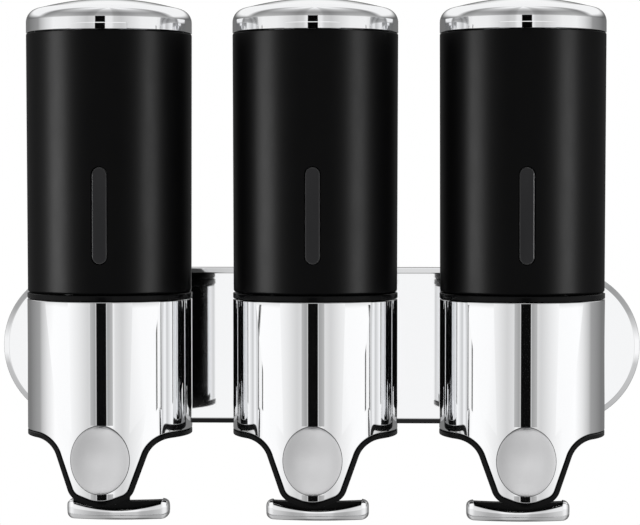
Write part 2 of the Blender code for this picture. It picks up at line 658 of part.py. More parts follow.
def make_lever(prefix, parent):
    """Bell-crank: fork under the plunger flange, hub on the pin, arm and black bar core."""
    core_half = CORE_LENGTH / 2
    core_top = BAR_TOP + CORE_PROUD
    core_low = BAR_LOW + BAR_WALL
    front = BAR_FRONT + BAR_WALL
    back = BAR_FRONT + BAR_DEEP - BAR_WALL
    shares = [-1.0, -0.5, 0.0, 0.5, 1.0]
    near = [(core_half * s, front + bow(core_half * s)) for s in shares]
    far = [(core_half * s, back + bow(core_half * s)) for s in reversed(shares)]
    arm = add(prefix + "lever_arm", prism("lever_arm", near + far, "Z", core_low, core_top),
              DEEP_BLACK, parent)
    arm_front = front + OVERLAP
    shank = prism("shank", box(-ARM_WIDTH / 2, ARM_WIDTH / 2, arm_front, arm_front + ARM_THICK),
                  "Z", core_top - SHANK_ROOT, 0.0)
    combine(arm, shank, "UNION")
    hub = LUG_IN - GAP
    combine(arm, prism("hub", circle(HUB_RADIUS, 16), "X", -hub, hub), "UNION")
    prong_in = STEM_RADIUS + FORK_CLEAR
    prong_out = hub - OVERLAP / 2
    reach = -PIVOT_BACK - FORK_REACH
    for side, label in ((-1, "left"), (1, "right")):
        low = min(side * prong_in, side * prong_out)
        high = max(side * prong_in, side * prong_out)
        top = NOSE_RADIUS - FORK_DROP
        bar = [(reach, top - FORK_THICK), (0.0, top - FORK_THICK), (0.0, top), (reach, top)]
        combine(arm, prism("prong_" + label, bar, "X", low, high), "UNION")
        nose = circle(NOSE_RADIUS, 12, -PIVOT_BACK, 0.0)
        nose_mesh = prism("nose_" + label, nose, "X", low + OVERLAP / 4, high - OVERLAP / 4)
        combine(arm, nose_mesh, "UNION")
    bore = prism("hub_bore", circle(PIN_RADIUS + GAP, 12), "X", -hub - OVERSHOOT,
                 hub + OVERSHOOT)
    combine(arm, bore, "DIFFERENCE")
    half = BAR_LENGTH / 2
    slices = []
    for k in range(17):
        across = half * math.sin(math.pi / 2 * (2 * k / 16 - 1))
        end = max(0.0, abs(across) - (half - BAR_ROUND)) / BAR_ROUND
        shrink = BAR_ROUND * 0.75 * (1 - math.sqrt(max(0.0, 1 - end ** 2)))
        scoop = BAR_SCOOP * max(0.0, 1 - (across / core_half) ** 2)
        slices.append(bar_section(across, shrink, BAR_TOP - scoop))
    pull = add(prefix + "pull_bar", lofted("pull_bar", slices, False), CHROME, parent)
    near = [(x + math.copysign(GAP, x), y - GAP) for x, y in near]
    far = [(x + math.copysign(GAP, x), y + GAP) for x, y in far]
    pocket = prism("pocket", near + far, "Z", core_low - GAP, core_top + OVERSHOOT)
    combine(pull, pocket, "DIFFERENCE")


def make_dispenser(prefix, across):
    """One complete dispenser at its place along the plate."""
    body = holder(prefix + "dispenser", (across, -AXIS_REACH, 0.0))
    make_tank(prefix, body)
    make_collar(prefix, body)
    make_housing(prefix, body)
    make_shield(prefix, body)
    make_pad(prefix, body)
    make_pump(prefix, body)
    make_cap(prefix, holder(prefix + "cap_lift", (0.0, 0.0, 0.0), body))
    make_plunger(prefix, holder(prefix + "plunger_slide", (0.0, 0.0, 0.0), body), body)
    make_lever(prefix, holder(prefix + "lever_pivot", (0.0, PIVOT_BACK, PIVOT_Z), body))


PLACES = (("left_", -SPACING), ("middle_", 0.0), ("right_", SPACING))


def hook_outline(across):
    """Plan of one hook: base on the bracket, waist, and the T head that fills the slot."""
    back = -(AXIS_REACH - SHELL_RADIUS - BOSS_STAND)
    lip = back - SLOT_LIP
    tip = lip - SLOT_HEAD_DEEP + HOOK_CLEAR
    half = [(HOOK_BASE_WIDTH / 2, -BRACKET_THICK / 2), (HOOK_BASE_WIDTH / 2, -PLATE_DEEP - HOOK_BASE_PROUD),
            (HOOK_WAIST / 2, back + HOOK_CLEAR + HOOK_BASE_PROUD / 3), (SLOT_MOUTH / 2, back + HOOK_CLEAR),
            (SLOT_MOUTH / 2, lip - HOOK_CLEAR), (SLOT_HEAD / 2, lip - HOOK_CLEAR),
            (SLOT_HEAD / 2, tip)]
    mirrored = [(-x, y) for x, y in reversed(half)]
    return [(across + x, y) for x, y in half + mirrored]


def make_wall_plate():
    """Moulded bracket with three hooks, chrome cover over it, and the wall screws."""
    length = PLATE_LENGTH - 2 * (PLATE_WALL + BRACKET_INSET)
    height = PLATE_HEIGHT - 2 * (PLATE_WALL + BRACKET_INSET)
    bracket = add("wall_bracket", prism("wall_bracket", stadium(length, height, 12), "Y",
                                        -BRACKET_THICK, 0.0), DEEP_BLACK)
    hook_low = BOSS_BOTTOM + HOOK_RISE
    hook_high = BOSS_TOP - SLOT_ROOF - HOOK_CLEAR
    for prefix, across in PLACES:
        hook = prism(prefix + "hook", hook_outline(across), "Z", hook_low, hook_high)
        combine(bracket, hook, "UNION")
    bm = bmesh.new()
    depths = ((0.0, 0.0), (0.0, -PLATE_DEEP + PLATE_EDGE),
              (PLATE_EDGE * 0.3, -PLATE_DEEP + PLATE_EDGE * 0.3), (PLATE_EDGE, -PLATE_DEEP))
    wall = PLATE_WALL
    rows = [[(x, y, z) for x, z in stadium(PLATE_LENGTH - 2 * inset, PLATE_HEIGHT - 2 * inset, 12)]
            for inset, y in depths]
    rows += [[(x, y, z) for x, z in stadium(PLATE_LENGTH - 2 * wall, PLATE_HEIGHT - 2 * wall, 12)]
             for y in (-PLATE_DEEP + wall, 0.0)]
    loops = [[bm.verts.new(p) for p in row] for row in rows]
    steps = len(loops[0])
    for one, two in ((0, 1), (1, 2), (2, 3), (4, 5), (5, 0)):
        for i in range(steps):
            j = (i + 1) % steps
            bm.faces.new((loops[one][i], loops[one][j], loops[two][j], loops[two][i]))
    bm.faces.new(loops[3])
    bm.faces.new(loops[4])
    cover = add("plate_cover", from_bmesh("plate_cover", bm), CHROME)
    for prefix, across in PLACES:
        half = HOOK_BASE_WIDTH / 2 + GAP
        hole = prism(prefix + "opening", box(across - half, across + half, hook_low - GAP,
                                             hook_high + GAP), "Y", -PLATE_DEEP - OVERSHOOT, -PLATE_WALL)
        combine(cover, hole, "DIFFERENCE")
    screw_places = [(side * SPACING / 2, up) for side in (-1, 1) for up in (-SCREW_UP, SCREW_UP)]
    for number, (across, up) in enumerate(screw_places, 1):
        bore = prism(f"screw_bore_{number}", circle(SCREW_SHANK + GAP, 12, across, up), "Y",
                     -BRACKET_THICK - OVERSHOOT, OVERSHOOT)
        combine(bracket, bore, "DIFFERENCE")
        head = BRACKET_THICK + GAP
        outline = [(0.0, head + SCREW_HEAD_HIGH), (SCREW_HEAD * 0.6, head + SCREW_HEAD_HIGH),
                   (SCREW_HEAD, head + SCREW_HEAD_HIGH / 2), (SCREW_HEAD, head),
                   (SCREW_SHANK, head), (SCREW_SHANK, 0.0), (0.0, 0.0)]
        screw = turned(f"wall_screw_{number}", outline, STEEL, None, 12, (across, 0.0, up))
        screw.rotation_euler = (math.pi / 2, 0.0, 0.0)


make_wall_plate()
for place_name, place_across in PLACES:
    make_dispenser(place_name, place_across)
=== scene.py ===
"""Wall mounted soap dispenser with three tanks: the finished surface of each piece, built round its frame."""

import json
import math

import bmesh
import bpy
from mathutils import Matrix, Vector

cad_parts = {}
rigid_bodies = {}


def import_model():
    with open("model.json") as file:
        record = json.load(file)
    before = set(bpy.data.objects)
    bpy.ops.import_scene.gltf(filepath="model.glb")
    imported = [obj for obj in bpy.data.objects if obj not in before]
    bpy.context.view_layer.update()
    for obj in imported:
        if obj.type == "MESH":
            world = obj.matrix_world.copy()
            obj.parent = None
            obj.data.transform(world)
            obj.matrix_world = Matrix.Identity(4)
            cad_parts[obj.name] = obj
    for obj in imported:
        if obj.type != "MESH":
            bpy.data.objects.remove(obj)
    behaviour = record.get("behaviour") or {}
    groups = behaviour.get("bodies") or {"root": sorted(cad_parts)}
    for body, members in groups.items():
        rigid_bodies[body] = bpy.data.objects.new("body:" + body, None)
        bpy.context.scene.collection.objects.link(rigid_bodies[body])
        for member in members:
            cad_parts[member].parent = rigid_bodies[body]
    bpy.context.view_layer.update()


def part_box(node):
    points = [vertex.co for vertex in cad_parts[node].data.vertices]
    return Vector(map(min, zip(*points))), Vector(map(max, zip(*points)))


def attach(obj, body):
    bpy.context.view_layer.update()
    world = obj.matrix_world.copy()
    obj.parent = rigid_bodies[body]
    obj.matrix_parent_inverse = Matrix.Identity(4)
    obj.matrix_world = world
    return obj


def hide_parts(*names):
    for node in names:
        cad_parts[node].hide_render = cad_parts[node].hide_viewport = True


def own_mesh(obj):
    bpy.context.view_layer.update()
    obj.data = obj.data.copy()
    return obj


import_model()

# Wall bracket
# A black moulding of glass-filled nylon, screwed to the wall behind the chrome cover. Three T hooks
# stand out of it, one for each dispenser. Its back is cored out between ribs, as thick mouldings are.

MM = 0.001
AXES = {}
for side in ("left", "middle", "right"):
    low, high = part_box(side + "_collar_ring")
    AXES[side] = ((low.x + high.x) / 2, (low.y + high.y) / 2)


class Wire:
    """A value inside a finish. Python's arithmetic on it adds Math nodes."""

    def __init__(self, nodes, socket):
        self.nodes = nodes
        self.socket = socket

    def __add__(self, other):
        return self.nodes.maths("ADD", self, other)

    def __sub__(self, other):
        return self.nodes.maths("SUBTRACT", self, other)

    def __rsub__(self, other):
        return self.nodes.maths("SUBTRACT", other, self)

    def __mul__(self, other):
        return self.nodes.maths("MULTIPLY", self, other)

    __radd__ = __add__
    __rmul__ = __mul__

    def __abs__(self):
        return self.nodes.maths("ABSOLUTE", self)


class Nodes:
    """A node tree, and the one way that nodes are put into it."""

    def __init__(self, tree):
        self.tree = tree

    def feed(self, socket, value):
        if isinstance(value, Wire):
            self.tree.links.new(value.socket, socket)
        else:
            socket.default_value = value

    def node(self, kind, settings, inputs, out=0):
        """Adds a node. Its settings come first, then the values or wires of its sockets."""
        made = self.tree.nodes.new("ShaderNode" + kind)
        for name, value in settings.items():
            if name == "stops":
                points = made.color_ramp.elements
                while len(points) < len(value):
                    points.new(0.5)
                for point, (place, tone) in zip(points, value):
                    point.position = place
                    point.color = (tone, tone, tone, 1.0)
            else:
                setattr(made, name, value)
        for name, value in inputs.items():
            self.feed(made.inputs[name], value)
        return Wire(self, made.outputs[out])

    def maths(self, operation, first, second=0.0):
        return self.node("Math", {"operation": operation}, {0: first, 1: second})

    def ease(self, value, start, end):
        """0 before start and 1 after end, smooth between them."""
        inputs = {"Value": value, "From Min": start, "From Max": end}
        return self.node("MapRange", {"interpolation_type": "SMOOTHSTEP"}, inputs)


class Finish(Nodes):
    """A material made of one Principled shader and what varies it over the surface."""

    def __init__(self, name, tone, roughness, others=None):
        self.material = bpy.data.materials.new(name)
        self.material.use_nodes = True
        super().__init__(self.material.node_tree)
        self.shader = self.tree.nodes["Principled BSDF"]
        settings = {"Base Color": (*tone, 1.0), "Roughness": roughness, **(others or {})}
        for socket, value in settings.items():
            self.shader.inputs[socket].default_value = value
        where = self.node("TexCoord", {}, {}, "Object")
        self.spot = self.node("VectorMath", {"operation": "SCALE"}, {0: where, "Scale": 1 / MM})

    def set(self, socket, value):
        self.feed(self.shader.inputs[socket], value)

    def grain(self, size, detail=2.0, stretch=(1.0, 1.0, 1.0)):
        """Noise from 0 to 1 whose lumps measure about size, in millimetres, times the stretch."""
        scale = tuple(1 / (size * s) for s in stretch)
        spot = self.node("VectorMath", {"operation": "MULTIPLY"}, {0: self.spot, 1: scale})
        return self.node("TexNoise", {}, {"Vector": spot, "Scale": 1.0, "Detail": detail})

    def relief(self, height, depth):
        """Bumps whose full height is depth, in millimetres."""
        inputs = {"Height": height, "Distance": depth * MM, "Strength": 1.0}
        self.set("Normal", self.node("Bump", {}, inputs))

    def tones(self, share, first, second):
        """The base colour, going from one colour to another by a share from 0 to 1."""
        inputs = {0: share, 6: (*first, 1.0), 7: (*second, 1.0)}
        self.set("Base Color", self.node("Mix", {"data_type": "RGBA"}, inputs, 2))


def stand(name, mesh_or_data):
    made = bpy.data.objects.new(name, mesh_or_data)
    bpy.context.scene.collection.objects.link(made)
    return made


def piece(name, bm, finish, crease=30.0):
    """A finished mesh from a bmesh: smooth, with sharp edges past the crease and flat large panels."""
    bmesh.ops.remove_doubles(bm, verts=bm.verts, dist=1e-7)
    bmesh.ops.recalc_face_normals(bm, faces=bm.faces)
    mesh = bpy.data.meshes.new(name)
    bm.to_mesh(mesh)
    bm.free()
    made = stand(name, mesh)
    mesh.materials.append(finish.material)
    shade(mesh, crease)
    return made


def shade(mesh, crease):
    mesh.shade_smooth()
    mesh.set_sharp_from_angle(angle=math.radians(crease))
    for face in mesh.polygons:
        if len(face.vertices) > 4:
            face.use_smooth = False


def fit(made, body, slot, *nodes):
    """The piece moves with a body and stands for these nodes. The slot is not used."""
    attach(made, body)
    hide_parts(*nodes)


def joined(target, tool, operation, crease=30.0):
    """Joins a tool to the target, or cuts it out, and removes the tool."""
    change = target.modifiers.new(operation.lower(), "BOOLEAN")
    change.operation = operation
    change.object = tool
    graph = bpy.context.evaluated_depsgraph_get()
    result = bpy.data.meshes.new_from_object(target.evaluated_get(graph))
    target.modifiers.remove(change)
    old = target.data
    target.data = result
    bpy.data.meshes.remove(old)
    bpy.data.objects.remove(tool)
    shade(result, crease)


def stadium(length, height, steps=24):
    """A slot outline about the origin, longest along its first coordinate."""
    radius = height / 2
    centre = length / 2 - radius
    points = []
    for way, first in ((1, -90), (-1, 90)):
        for k in range(steps + 1):
            turn = math.radians(first + 180 * k / steps)
            points.append((way * centre + radius * math.cos(turn), radius * math.sin(turn)))
    return points


def softened(corners, closed, turn_step=9.0, arc_steps=None):
    """The line through (u, v, radius) corners with each one rounded. Short straight leads before
    and after an arc keep the straight runs flat when they are shaded."""
    points = []
    count = len(corners)
    for i, (u, v, radius) in enumerate(corners):
        here = Vector((u, v))
        if radius == 0.0 or (not closed and i in (0, count - 1)):
            points.append((u, v))
            continue
        to_last = Vector(corners[i - 1][:2]) - here
        to_next = Vector(corners[(i + 1) % count][:2]) - here
        turn = math.pi - to_last.angle(to_next)
        reach = radius * math.tan(turn / 2)
        start = here + to_last.normalized() * reach
        end = here + to_next.normalized() * reach
        centre = here + (to_last.normalized() + to_next.normalized()).normalized() * math.hypot(radius, reach)
        first = start - centre
        way = 1.0 if first.cross(end - centre) > 0 else -1.0
        steps = arc_steps or max(2, math.ceil(math.degrees(turn) / turn_step))
        lead = min(0.2 * MM, 0.2 * (to_last.length - reach), 0.2 * (to_next.length - reach))
        points.append(tuple(start + to_last.normalized() * lead))
        for k in range(steps + 1):
            angle = way * turn * k / steps
            points.append((centre.x + first.x * math.cos(angle) - first.y * math.sin(angle),
                           centre.y + first.x * math.sin(angle) + first.y * math.cos(angle)))
        points.append(tuple(end + to_next.normalized() * lead))
    return points


def skinned(bm, rows, wrap=True, capped=False):
    """Faces between rows of points of the same length, capped at both ends if asked. Gives the rows of
    vertices they run through."""
    loops = [[bm.verts.new(p) for p in row] for row in rows]
    count = len(loops[0])
    for one, two in zip(loops, loops[1:]):
        for i in range(count if wrap else count - 1):
            j = (i + 1) % count
            bm.faces.new((one[i], one[j], two[j], two[i]))
    if capped:
        bm.faces.new(loops[0])
        bm.faces.new(loops[-1])
    return loops


def slab(name, outline, rows, finish):
    """A closed piece through inset outlines: outline(inset) gives (x, z) points, rows give (inset, y)."""
    bm = bmesh.new()
    skinned(bm, [[(x, y, z) for x, z in outline(inset)] for inset, y in rows], capped=True)
    return piece(name, bm, finish)


def block(name, low, high, finish, radius=0.0, axis="Z"):
    """A bar between two corners, its long edges along the axis rounded."""
    first, second = {"X": (1, 2), "Y": (0, 2), "Z": (0, 1)}[axis]
    along = "XYZ".index(axis)
    corners = [(low[first], low[second], radius), (high[first], low[second], radius),
               (high[first], high[second], radius), (low[first], high[second], radius)]
    return pushed(name, softened(corners, True), axis, low[along], high[along], finish)


def pushed(name, outline, axis, low, high, finish):
    """A flat outline pushed along an axis."""
    bm = bmesh.new()
    place = "XYZ".index(axis)
    rows = [[(*p[:place], along, *p[place:]) for p in outline] for along in (low, high)]
    skinned(bm, rows, capped=True)
    return piece(name, bm, finish)


nylon = Finish("black_nylon", (0.004, 0.004, 0.004), 0.5, {"Specular IOR Level": 0.1})
fibre = nylon.grain(0.35, 3.0)
nylon.set("Roughness", 0.42 + 0.2 * nylon.grain(6.0))
nylon.tones(nylon.grain(2.5, 3.0), (0.0022, 0.0022, 0.0024), (0.004, 0.004, 0.0043))
nylon.relief(fibre, 0.03)

BRACKET_THICK = 3.0 * MM
HOOK_WIDTH = 26.0 * MM
HOOK_WAIST = 18.0 * MM
HOOK_PROUD = 3.0 * MM
NECK_WIDTH = 12.0 * MM
HEAD_WIDTH = 20.0 * MM
HEAD_DEEP = 3.4 * MM
NECK_DEEP = 4.2 * MM
HOOK_BOTTOM = -17.0 * MM
HOOK_TOP = 13.6 * MM
POCKET_DEEP = 1.4 * MM
POCKET = (14.0 * MM, 12.4 * MM)
RIB = 2.2 * MM
SCREW_PAD = 12.0 * MM
POCKET_ROUND = 1.2 * MM
SHARP = 0.2 * MM  # edge roundings, from nearly sharp to soft
CRISP = 0.3 * MM
EASED = 0.4 * MM
SOFT = 0.5 * MM

low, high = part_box("wall_bracket")
bracket_length = high.x - low.x
bracket_height = high.z - low.z
cover_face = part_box("plate_cover")[0].y
hook_tip = low.y


def bracket_outline(inset):
    return stadium(bracket_length - 2 * inset, bracket_height - 2 * inset, 40)


bracket = slab("bracket_moulding", bracket_outline,
               [(0.0, 0.0), (0.0, 0.5 * MM - BRACKET_THICK), (0.5 * MM, -BRACKET_THICK)], nylon)
for across, _ in AXES.values():
    neck = hook_tip + HEAD_DEEP
    half = [(HOOK_WIDTH / 2, -BRACKET_THICK / 2, 0.0), (HOOK_WIDTH / 2, cover_face - HOOK_PROUD, 1.5 * MM),
            (HOOK_WAIST / 2, neck + NECK_DEEP + MM, 0.6 * MM), (NECK_WIDTH / 2, neck + NECK_DEEP, EASED),
            (NECK_WIDTH / 2, neck, CRISP), (HEAD_WIDTH / 2, neck, SOFT), (HEAD_WIDTH / 2, hook_tip, SOFT)]
    half += [(-x, y, r) for x, y, r in reversed(half)]
    plan = [(across + x, y) for x, y in softened(half, True)]
    joined(bracket, pushed("hook", plan, "Z", HOOK_BOTTOM, HOOK_TOP, nylon), "UNION")
screw_low, screw_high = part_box("wall_screw_4")
screw_across = (screw_low.x + screw_high.x) / 2
screw_up = (screw_low.z + screw_high.z) / 2
pitch = POCKET[0] + RIB
count = int((bracket_length / 2 - bracket_height / 2) // pitch)
for column in range(-count, count + 1):
    for row in (-1.5, -0.5, 0.5, 1.5):
        x = column * pitch
        z = row * (POCKET[1] + RIB * 0.6)
        half_wide = POCKET[0] / 2
        half_high = POCKET[1] / 2 - RIB * 0.3
        if math.hypot(abs(x) - screw_across, abs(z) - screw_up) < SCREW_PAD:
            continue
        pocket = block("pocket", (x - half_wide, -POCKET_DEEP, z - half_high),
                       (x + half_wide, MM, z + half_high), nylon, POCKET_ROUND, "Y")
        joined(bracket, pocket, "DIFFERENCE")

# Wall screws
# Four stainless pan-head screws hold the bracket to the wall, their cross recesses hidden by the cover.

steel = Finish("stainless_steel", (0.62, 0.62, 0.61), 0.28, {"Metallic": 1.0})
steel.set("Roughness", 0.22 + 0.16 * steel.grain(1.2, 3.0))
steel.relief(steel.grain(0.4, 2.0, (1.0, 1.0, 4.0)), 0.004)

HEAD_RADIUS = 4.0 * MM
HEAD_HIGH = 2.4 * MM
SHANK_RADIUS = 2.0 * MM
HEAD_ROUND = 1.2 * MM
RECESS = 0.9 * MM
RECESS_REACH = 2.2 * MM
RECESS_DEEP = 1.2 * MM


def on_shell(centre, ring, radius):
    """Points at a radius round an upright axis, from (angle, height). Angle 0 is the front."""
    return [(centre[0] + radius * math.sin(a), centre[1] - radius * math.cos(a), z) for a, z in ring]


def turned(name, corners, finish, centre, steps=96, closed=True, crease=30.0):
    """A turned piece about an upright axis through centre: (radius, height, rounding) corners in order."""
    bm = bmesh.new()
    turns = [2 * math.pi * k / steps for k in range(steps)]
    rows = [on_shell(centre, [(t, height) for t in turns], radius)
            for radius, height in softened(corners, closed)]
    if closed:
        rows.append(rows[0])
    skinned(bm, rows)
    return piece(name, bm, finish, crease)


for number in range(1, 5):
    node = f"wall_screw_{number}"
    low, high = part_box(node)
    centre = (low + high) / 2
    head = low.y
    corners = [(0.0, -head, 0.0), (HEAD_RADIUS, -head, HEAD_ROUND), (HEAD_RADIUS, -head - HEAD_HIGH, SHARP),
               (SHANK_RADIUS, -head - HEAD_HIGH, SHARP), (SHANK_RADIUS, 0.0, 0.1 * MM), (0.0, 0.0, 0.0)]
    screw = turned(f"pan_head_screw_{number}", corners, steel, (0.0, 0.0), 40, False)
    screw.data.transform(Matrix.Rotation(math.pi / 2, 4, "X"))
    screw.data.transform(Matrix.Translation((centre.x, 0.0, centre.z)))
    for wide, tall in ((RECESS_REACH, RECESS / 2), (RECESS / 2, RECESS_REACH)):
        slot_low = (centre.x - wide, head - MM, centre.z - tall)
        slot_high = (centre.x + wide, head + RECESS_DEEP, centre.z + tall)
        joined(screw, block("recess", slot_low, slot_high, steel, 0.0, "Y"), "DIFFERENCE")
    fit(screw, "wall_plate", "steel", node)
fit(bracket, "wall_plate", "black_moulding", "wall_bracket")

# Plate cover
# One chrome-plated ABS shell with round ends that snaps over the bracket. Its front edge is rolled over a
# narrow bead, and three openings let the hooks through.

chrome = Finish("chrome_plating", (0.93, 0.935, 0.945), 0.03, {"Metallic": 1.0})
chrome.set("Roughness", 0.02 + 0.035 * chrome.grain(9.0, 3.0))
chrome.relief(chrome.grain(5.0, 1.0), 0.0012)

COVER_WALL = 1.5 * MM
ROLL_WIDE = 2.2 * MM
ROLL_DEEP = 1.6 * MM
OPENING_CLEAR = 0.3 * MM
OPENING_ROUND = 0.8 * MM

low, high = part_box("plate_cover")
cover_size = (high.x - low.x, high.z - low.z)


def cover_outline(inset):
    return stadium(cover_size[0] - 2 * inset, cover_size[1] - 2 * inset, 64)


roll = softened([(0.0, 0.0, 0.0), (0.0, low.y + ROLL_DEEP, SOFT), (ROLL_WIDE, low.y, 0.7 * MM),
                 (ROLL_WIDE + 2 * MM, low.y, 0.0)], False)
inside = [(COVER_WALL + MM, low.y + COVER_WALL), (COVER_WALL, low.y + COVER_WALL + MM), (COVER_WALL, 0.0)]
bm = bmesh.new()
outer = skinned(bm, [[(x, y, z) for x, z in cover_outline(inset)] for inset, y in roll])
inner = skinned(bm, [[(x, y, z) for x, z in cover_outline(inset)] for inset, y in inside])
bm.faces.new(outer[-1])
bm.faces.new(inner[0])
for i in range(len(outer[0])):
    j = (i + 1) % len(outer[0])
    bm.faces.new((outer[0][i], outer[0][j], inner[-1][j], inner[-1][i]))
cover = piece("chrome_plate_cover", bm, chrome)
for across, _ in AXES.values():
    half = HOOK_WIDTH / 2 + OPENING_CLEAR
    hole = block("opening", (across - half, low.y - MM, HOOK_BOTTOM - OPENING_CLEAR),
                 (across + half, low.y + 3 * MM, HOOK_TOP + OPENING_CLEAR), chrome, OPENING_ROUND, "Y")
    joined(cover, hole, "DIFFERENCE")
fit(cover, "wall_plate", "chrome", "plate_cover")

# Soap tanks
# Black ABS tubes with a fine satin texture, slightly tapered to the foot, with a funnel floor and an
# outlet neck. A recess in the front takes the level window.

satin = Finish("satin_black_abs", (0.002, 0.002, 0.002), 0.36, {"Specular IOR Level": 0.05})
satin.tones(satin.grain(14.0, 4.0), (0.0007, 0.0007, 0.00075), (0.0012, 0.0012, 0.0013))
satin.set("Roughness", 0.33 + 0.06 * satin.grain(4.0, 4.0, (1.0, 1.0, 3.0)))
satin.relief(satin.grain(0.3, 2.0), 0.006)

TANK_WALL = 1.9 * MM
FOOT_ROUND = 1.0 * MM
FOOT_NARROWING = 0.3 * MM
NECK_RADIUS = 7.0 * MM
NECK_BORE = 4.2 * MM
NECK_LENGTH = 12.0 * MM
FUNNEL_DROP = 5.0 * MM
WINDOW_MARGIN = 0.3 * MM


def true_round(made, centre, reach):
    """Exact round normals on the outer wall, so that cut-outs leave no waves in the gloss."""
    mesh = made.data
    normals = [None] * len(mesh.loops)
    for face in mesh.polygons:
        away = Vector((face.center.x - centre[0], face.center.y - centre[1], 0.0))
        flat = face.normal.dot(away.normalized()) > 0.99 and away.length > reach
        for index in face.loop_indices:
            spoke = mesh.vertices[mesh.loops[index].vertex_index].co - Vector((*centre, 0.0))
            spoke.z = 0.0
            normals[index] = spoke.normalized() if flat else mesh.corner_normals[index].vector.copy()
    mesh.normals_split_custom_set(normals)


for side, centre in AXES.items():
    low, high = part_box(side + "_tank")
    radius = (high.x - low.x) / 2
    foot = radius - FOOT_NARROWING
    foot_z = low.z + NECK_LENGTH
    floor = foot_z + TANK_WALL
    bore = foot - TANK_WALL
    corners = [(radius, high.z, EASED), (foot, foot_z, FOOT_ROUND), (NECK_RADIUS, foot_z, SOFT),
               (NECK_RADIUS, low.z, CRISP), (NECK_BORE, low.z, CRISP), (NECK_BORE, floor, 0.6 * MM),
               (bore, floor + FUNNEL_DROP, 1.0 * MM), (bore, high.z, CRISP)]
    tank = turned(side + "_soap_tank", corners, satin, centre, 144)
    pane_low, pane_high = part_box(side + "_window")
    middle = (pane_low + pane_high) / 2
    tall = pane_high.z - pane_low.z + 2 * WINDOW_MARGIN
    wide = pane_high.x - pane_low.x + 2 * WINDOW_MARGIN
    recess = pushed("recess", [(middle.x + x, middle.z + z) for z, x in stadium(tall, wide, 20)],
                    "Y", low.y - MM, centre[1] - bore + MM, satin)
    joined(tank, recess, "DIFFERENCE")
    true_round(tank, centre, foot - 0.2 * MM)
    fit(tank, side + "_dispenser", "satin_black", side + "_tank")

# Level windows
# Smoked acrylic panes bonded into the front of the tanks, to see how much soap is left. Their bevelled
# edge carries a painted highlight: its base colour is paler than the face's.

smoked = Finish("smoked_acrylic", (0.012, 0.012, 0.013), 0.12, {"Specular IOR Level": 0.06})
outward = smoked.node("SeparateXYZ", {}, {0: smoked.node("NewGeometry", {}, {}, "Normal")}, 1)
# Painted highlight: where the normal turns away from the front, on the bevel, the base colour is made paler.
flat = smoked.ease(0.0 - outward, 0.7, 0.96) * (0.95 + 0.05 * smoked.grain(8.0, 2.0, (1.0, 1.0, 4.0)))
smoked.tones(flat, (0.11, 0.11, 0.112), (0.0075, 0.0075, 0.008))
smoked.set("Roughness", 0.1 + 0.06 * smoked.grain(3.0, 2.0))
smoked.relief(smoked.grain(2.5, 1.0), 0.004)

PANE_BEVEL = 0.5 * MM

for side, centre in AXES.items():
    low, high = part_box(side + "_window")
    tall = high.z - low.z
    wide = high.x - low.x
    middle = (low + high) / 2

    def pane_outline(inset):
        return [(middle.x + x, middle.z + z) for z, x in stadium(tall - 2 * inset, wide - 2 * inset, 20)]

    pane = slab(side + "_level_window", pane_outline,
                [(0.0, high.y), (0.0, low.y + PANE_BEVEL), (PANE_BEVEL * 0.35, low.y + PANE_BEVEL * 0.3),
                 (PANE_BEVEL, low.y)], smoked)
    fit(pane, side + "_dispenser", "smoked_window", side + "_window")

# Collar rings
# Black ABS rings that part the satin tank from the chrome, moulded with a small rounded edge.

gloss = Finish("black_abs", (0.002, 0.002, 0.002), 0.24, {"Specular IOR Level": 0.12})
gloss.tones(gloss.grain(5.0, 2.0), (0.0016, 0.0016, 0.0018), (0.0026, 0.0026, 0.0028))
gloss.set("Roughness", 0.2 + 0.12 * gloss.grain(3.0, 4.0))
gloss.relief(gloss.grain(0.5, 2.0), 0.003)

RING_WIDTH = 5.0 * MM

for side, centre in AXES.items():
    low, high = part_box(side + "_collar_ring")
    radius = (high.x - low.x) / 2
    corners = [(radius, high.z, CRISP), (radius, low.z, CRISP), (radius - RING_WIDTH, low.z, SHARP),
               (radius - RING_WIDTH, high.z, SHARP)]
    ring = turned(side + "_collar", corners, gloss, centre, 144)
    fit(ring, side + "_dispenser", "black_moulding", side + "_collar_ring")

# Front shields
# Chrome-plated skins pressed over the front of each housing. They wrap past the sides, sweep in at the
# shoulder to a tapered tongue, and stop a border's width short of the black edge.

SHIELD_THICK = 1.2 * MM
SHIELD_WRAP = math.radians(112.0)
SHOULDER_DEPTH = 52.8 * MM
SHOULDER_ROUND = 9.0 * MM
TONGUE_ROOT = 19.68 * MM
TONGUE_TAPER = math.radians(20.0)
CORNER_ABOVE_TIP = 3.2 * MM
CORNER_ROUND = 6.5 * MM
TIP_SLOPE = math.radians(19.7)
BORDER = 2.2 * MM
LIP = 0.35 * MM

shield_low, shield_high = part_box("middle_front_shield")
joint_z = shield_high.z
shell_radius = (shield_high.x - shield_low.x) / 2
tongue_depth = joint_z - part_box("middle_lower_housing")[0].z


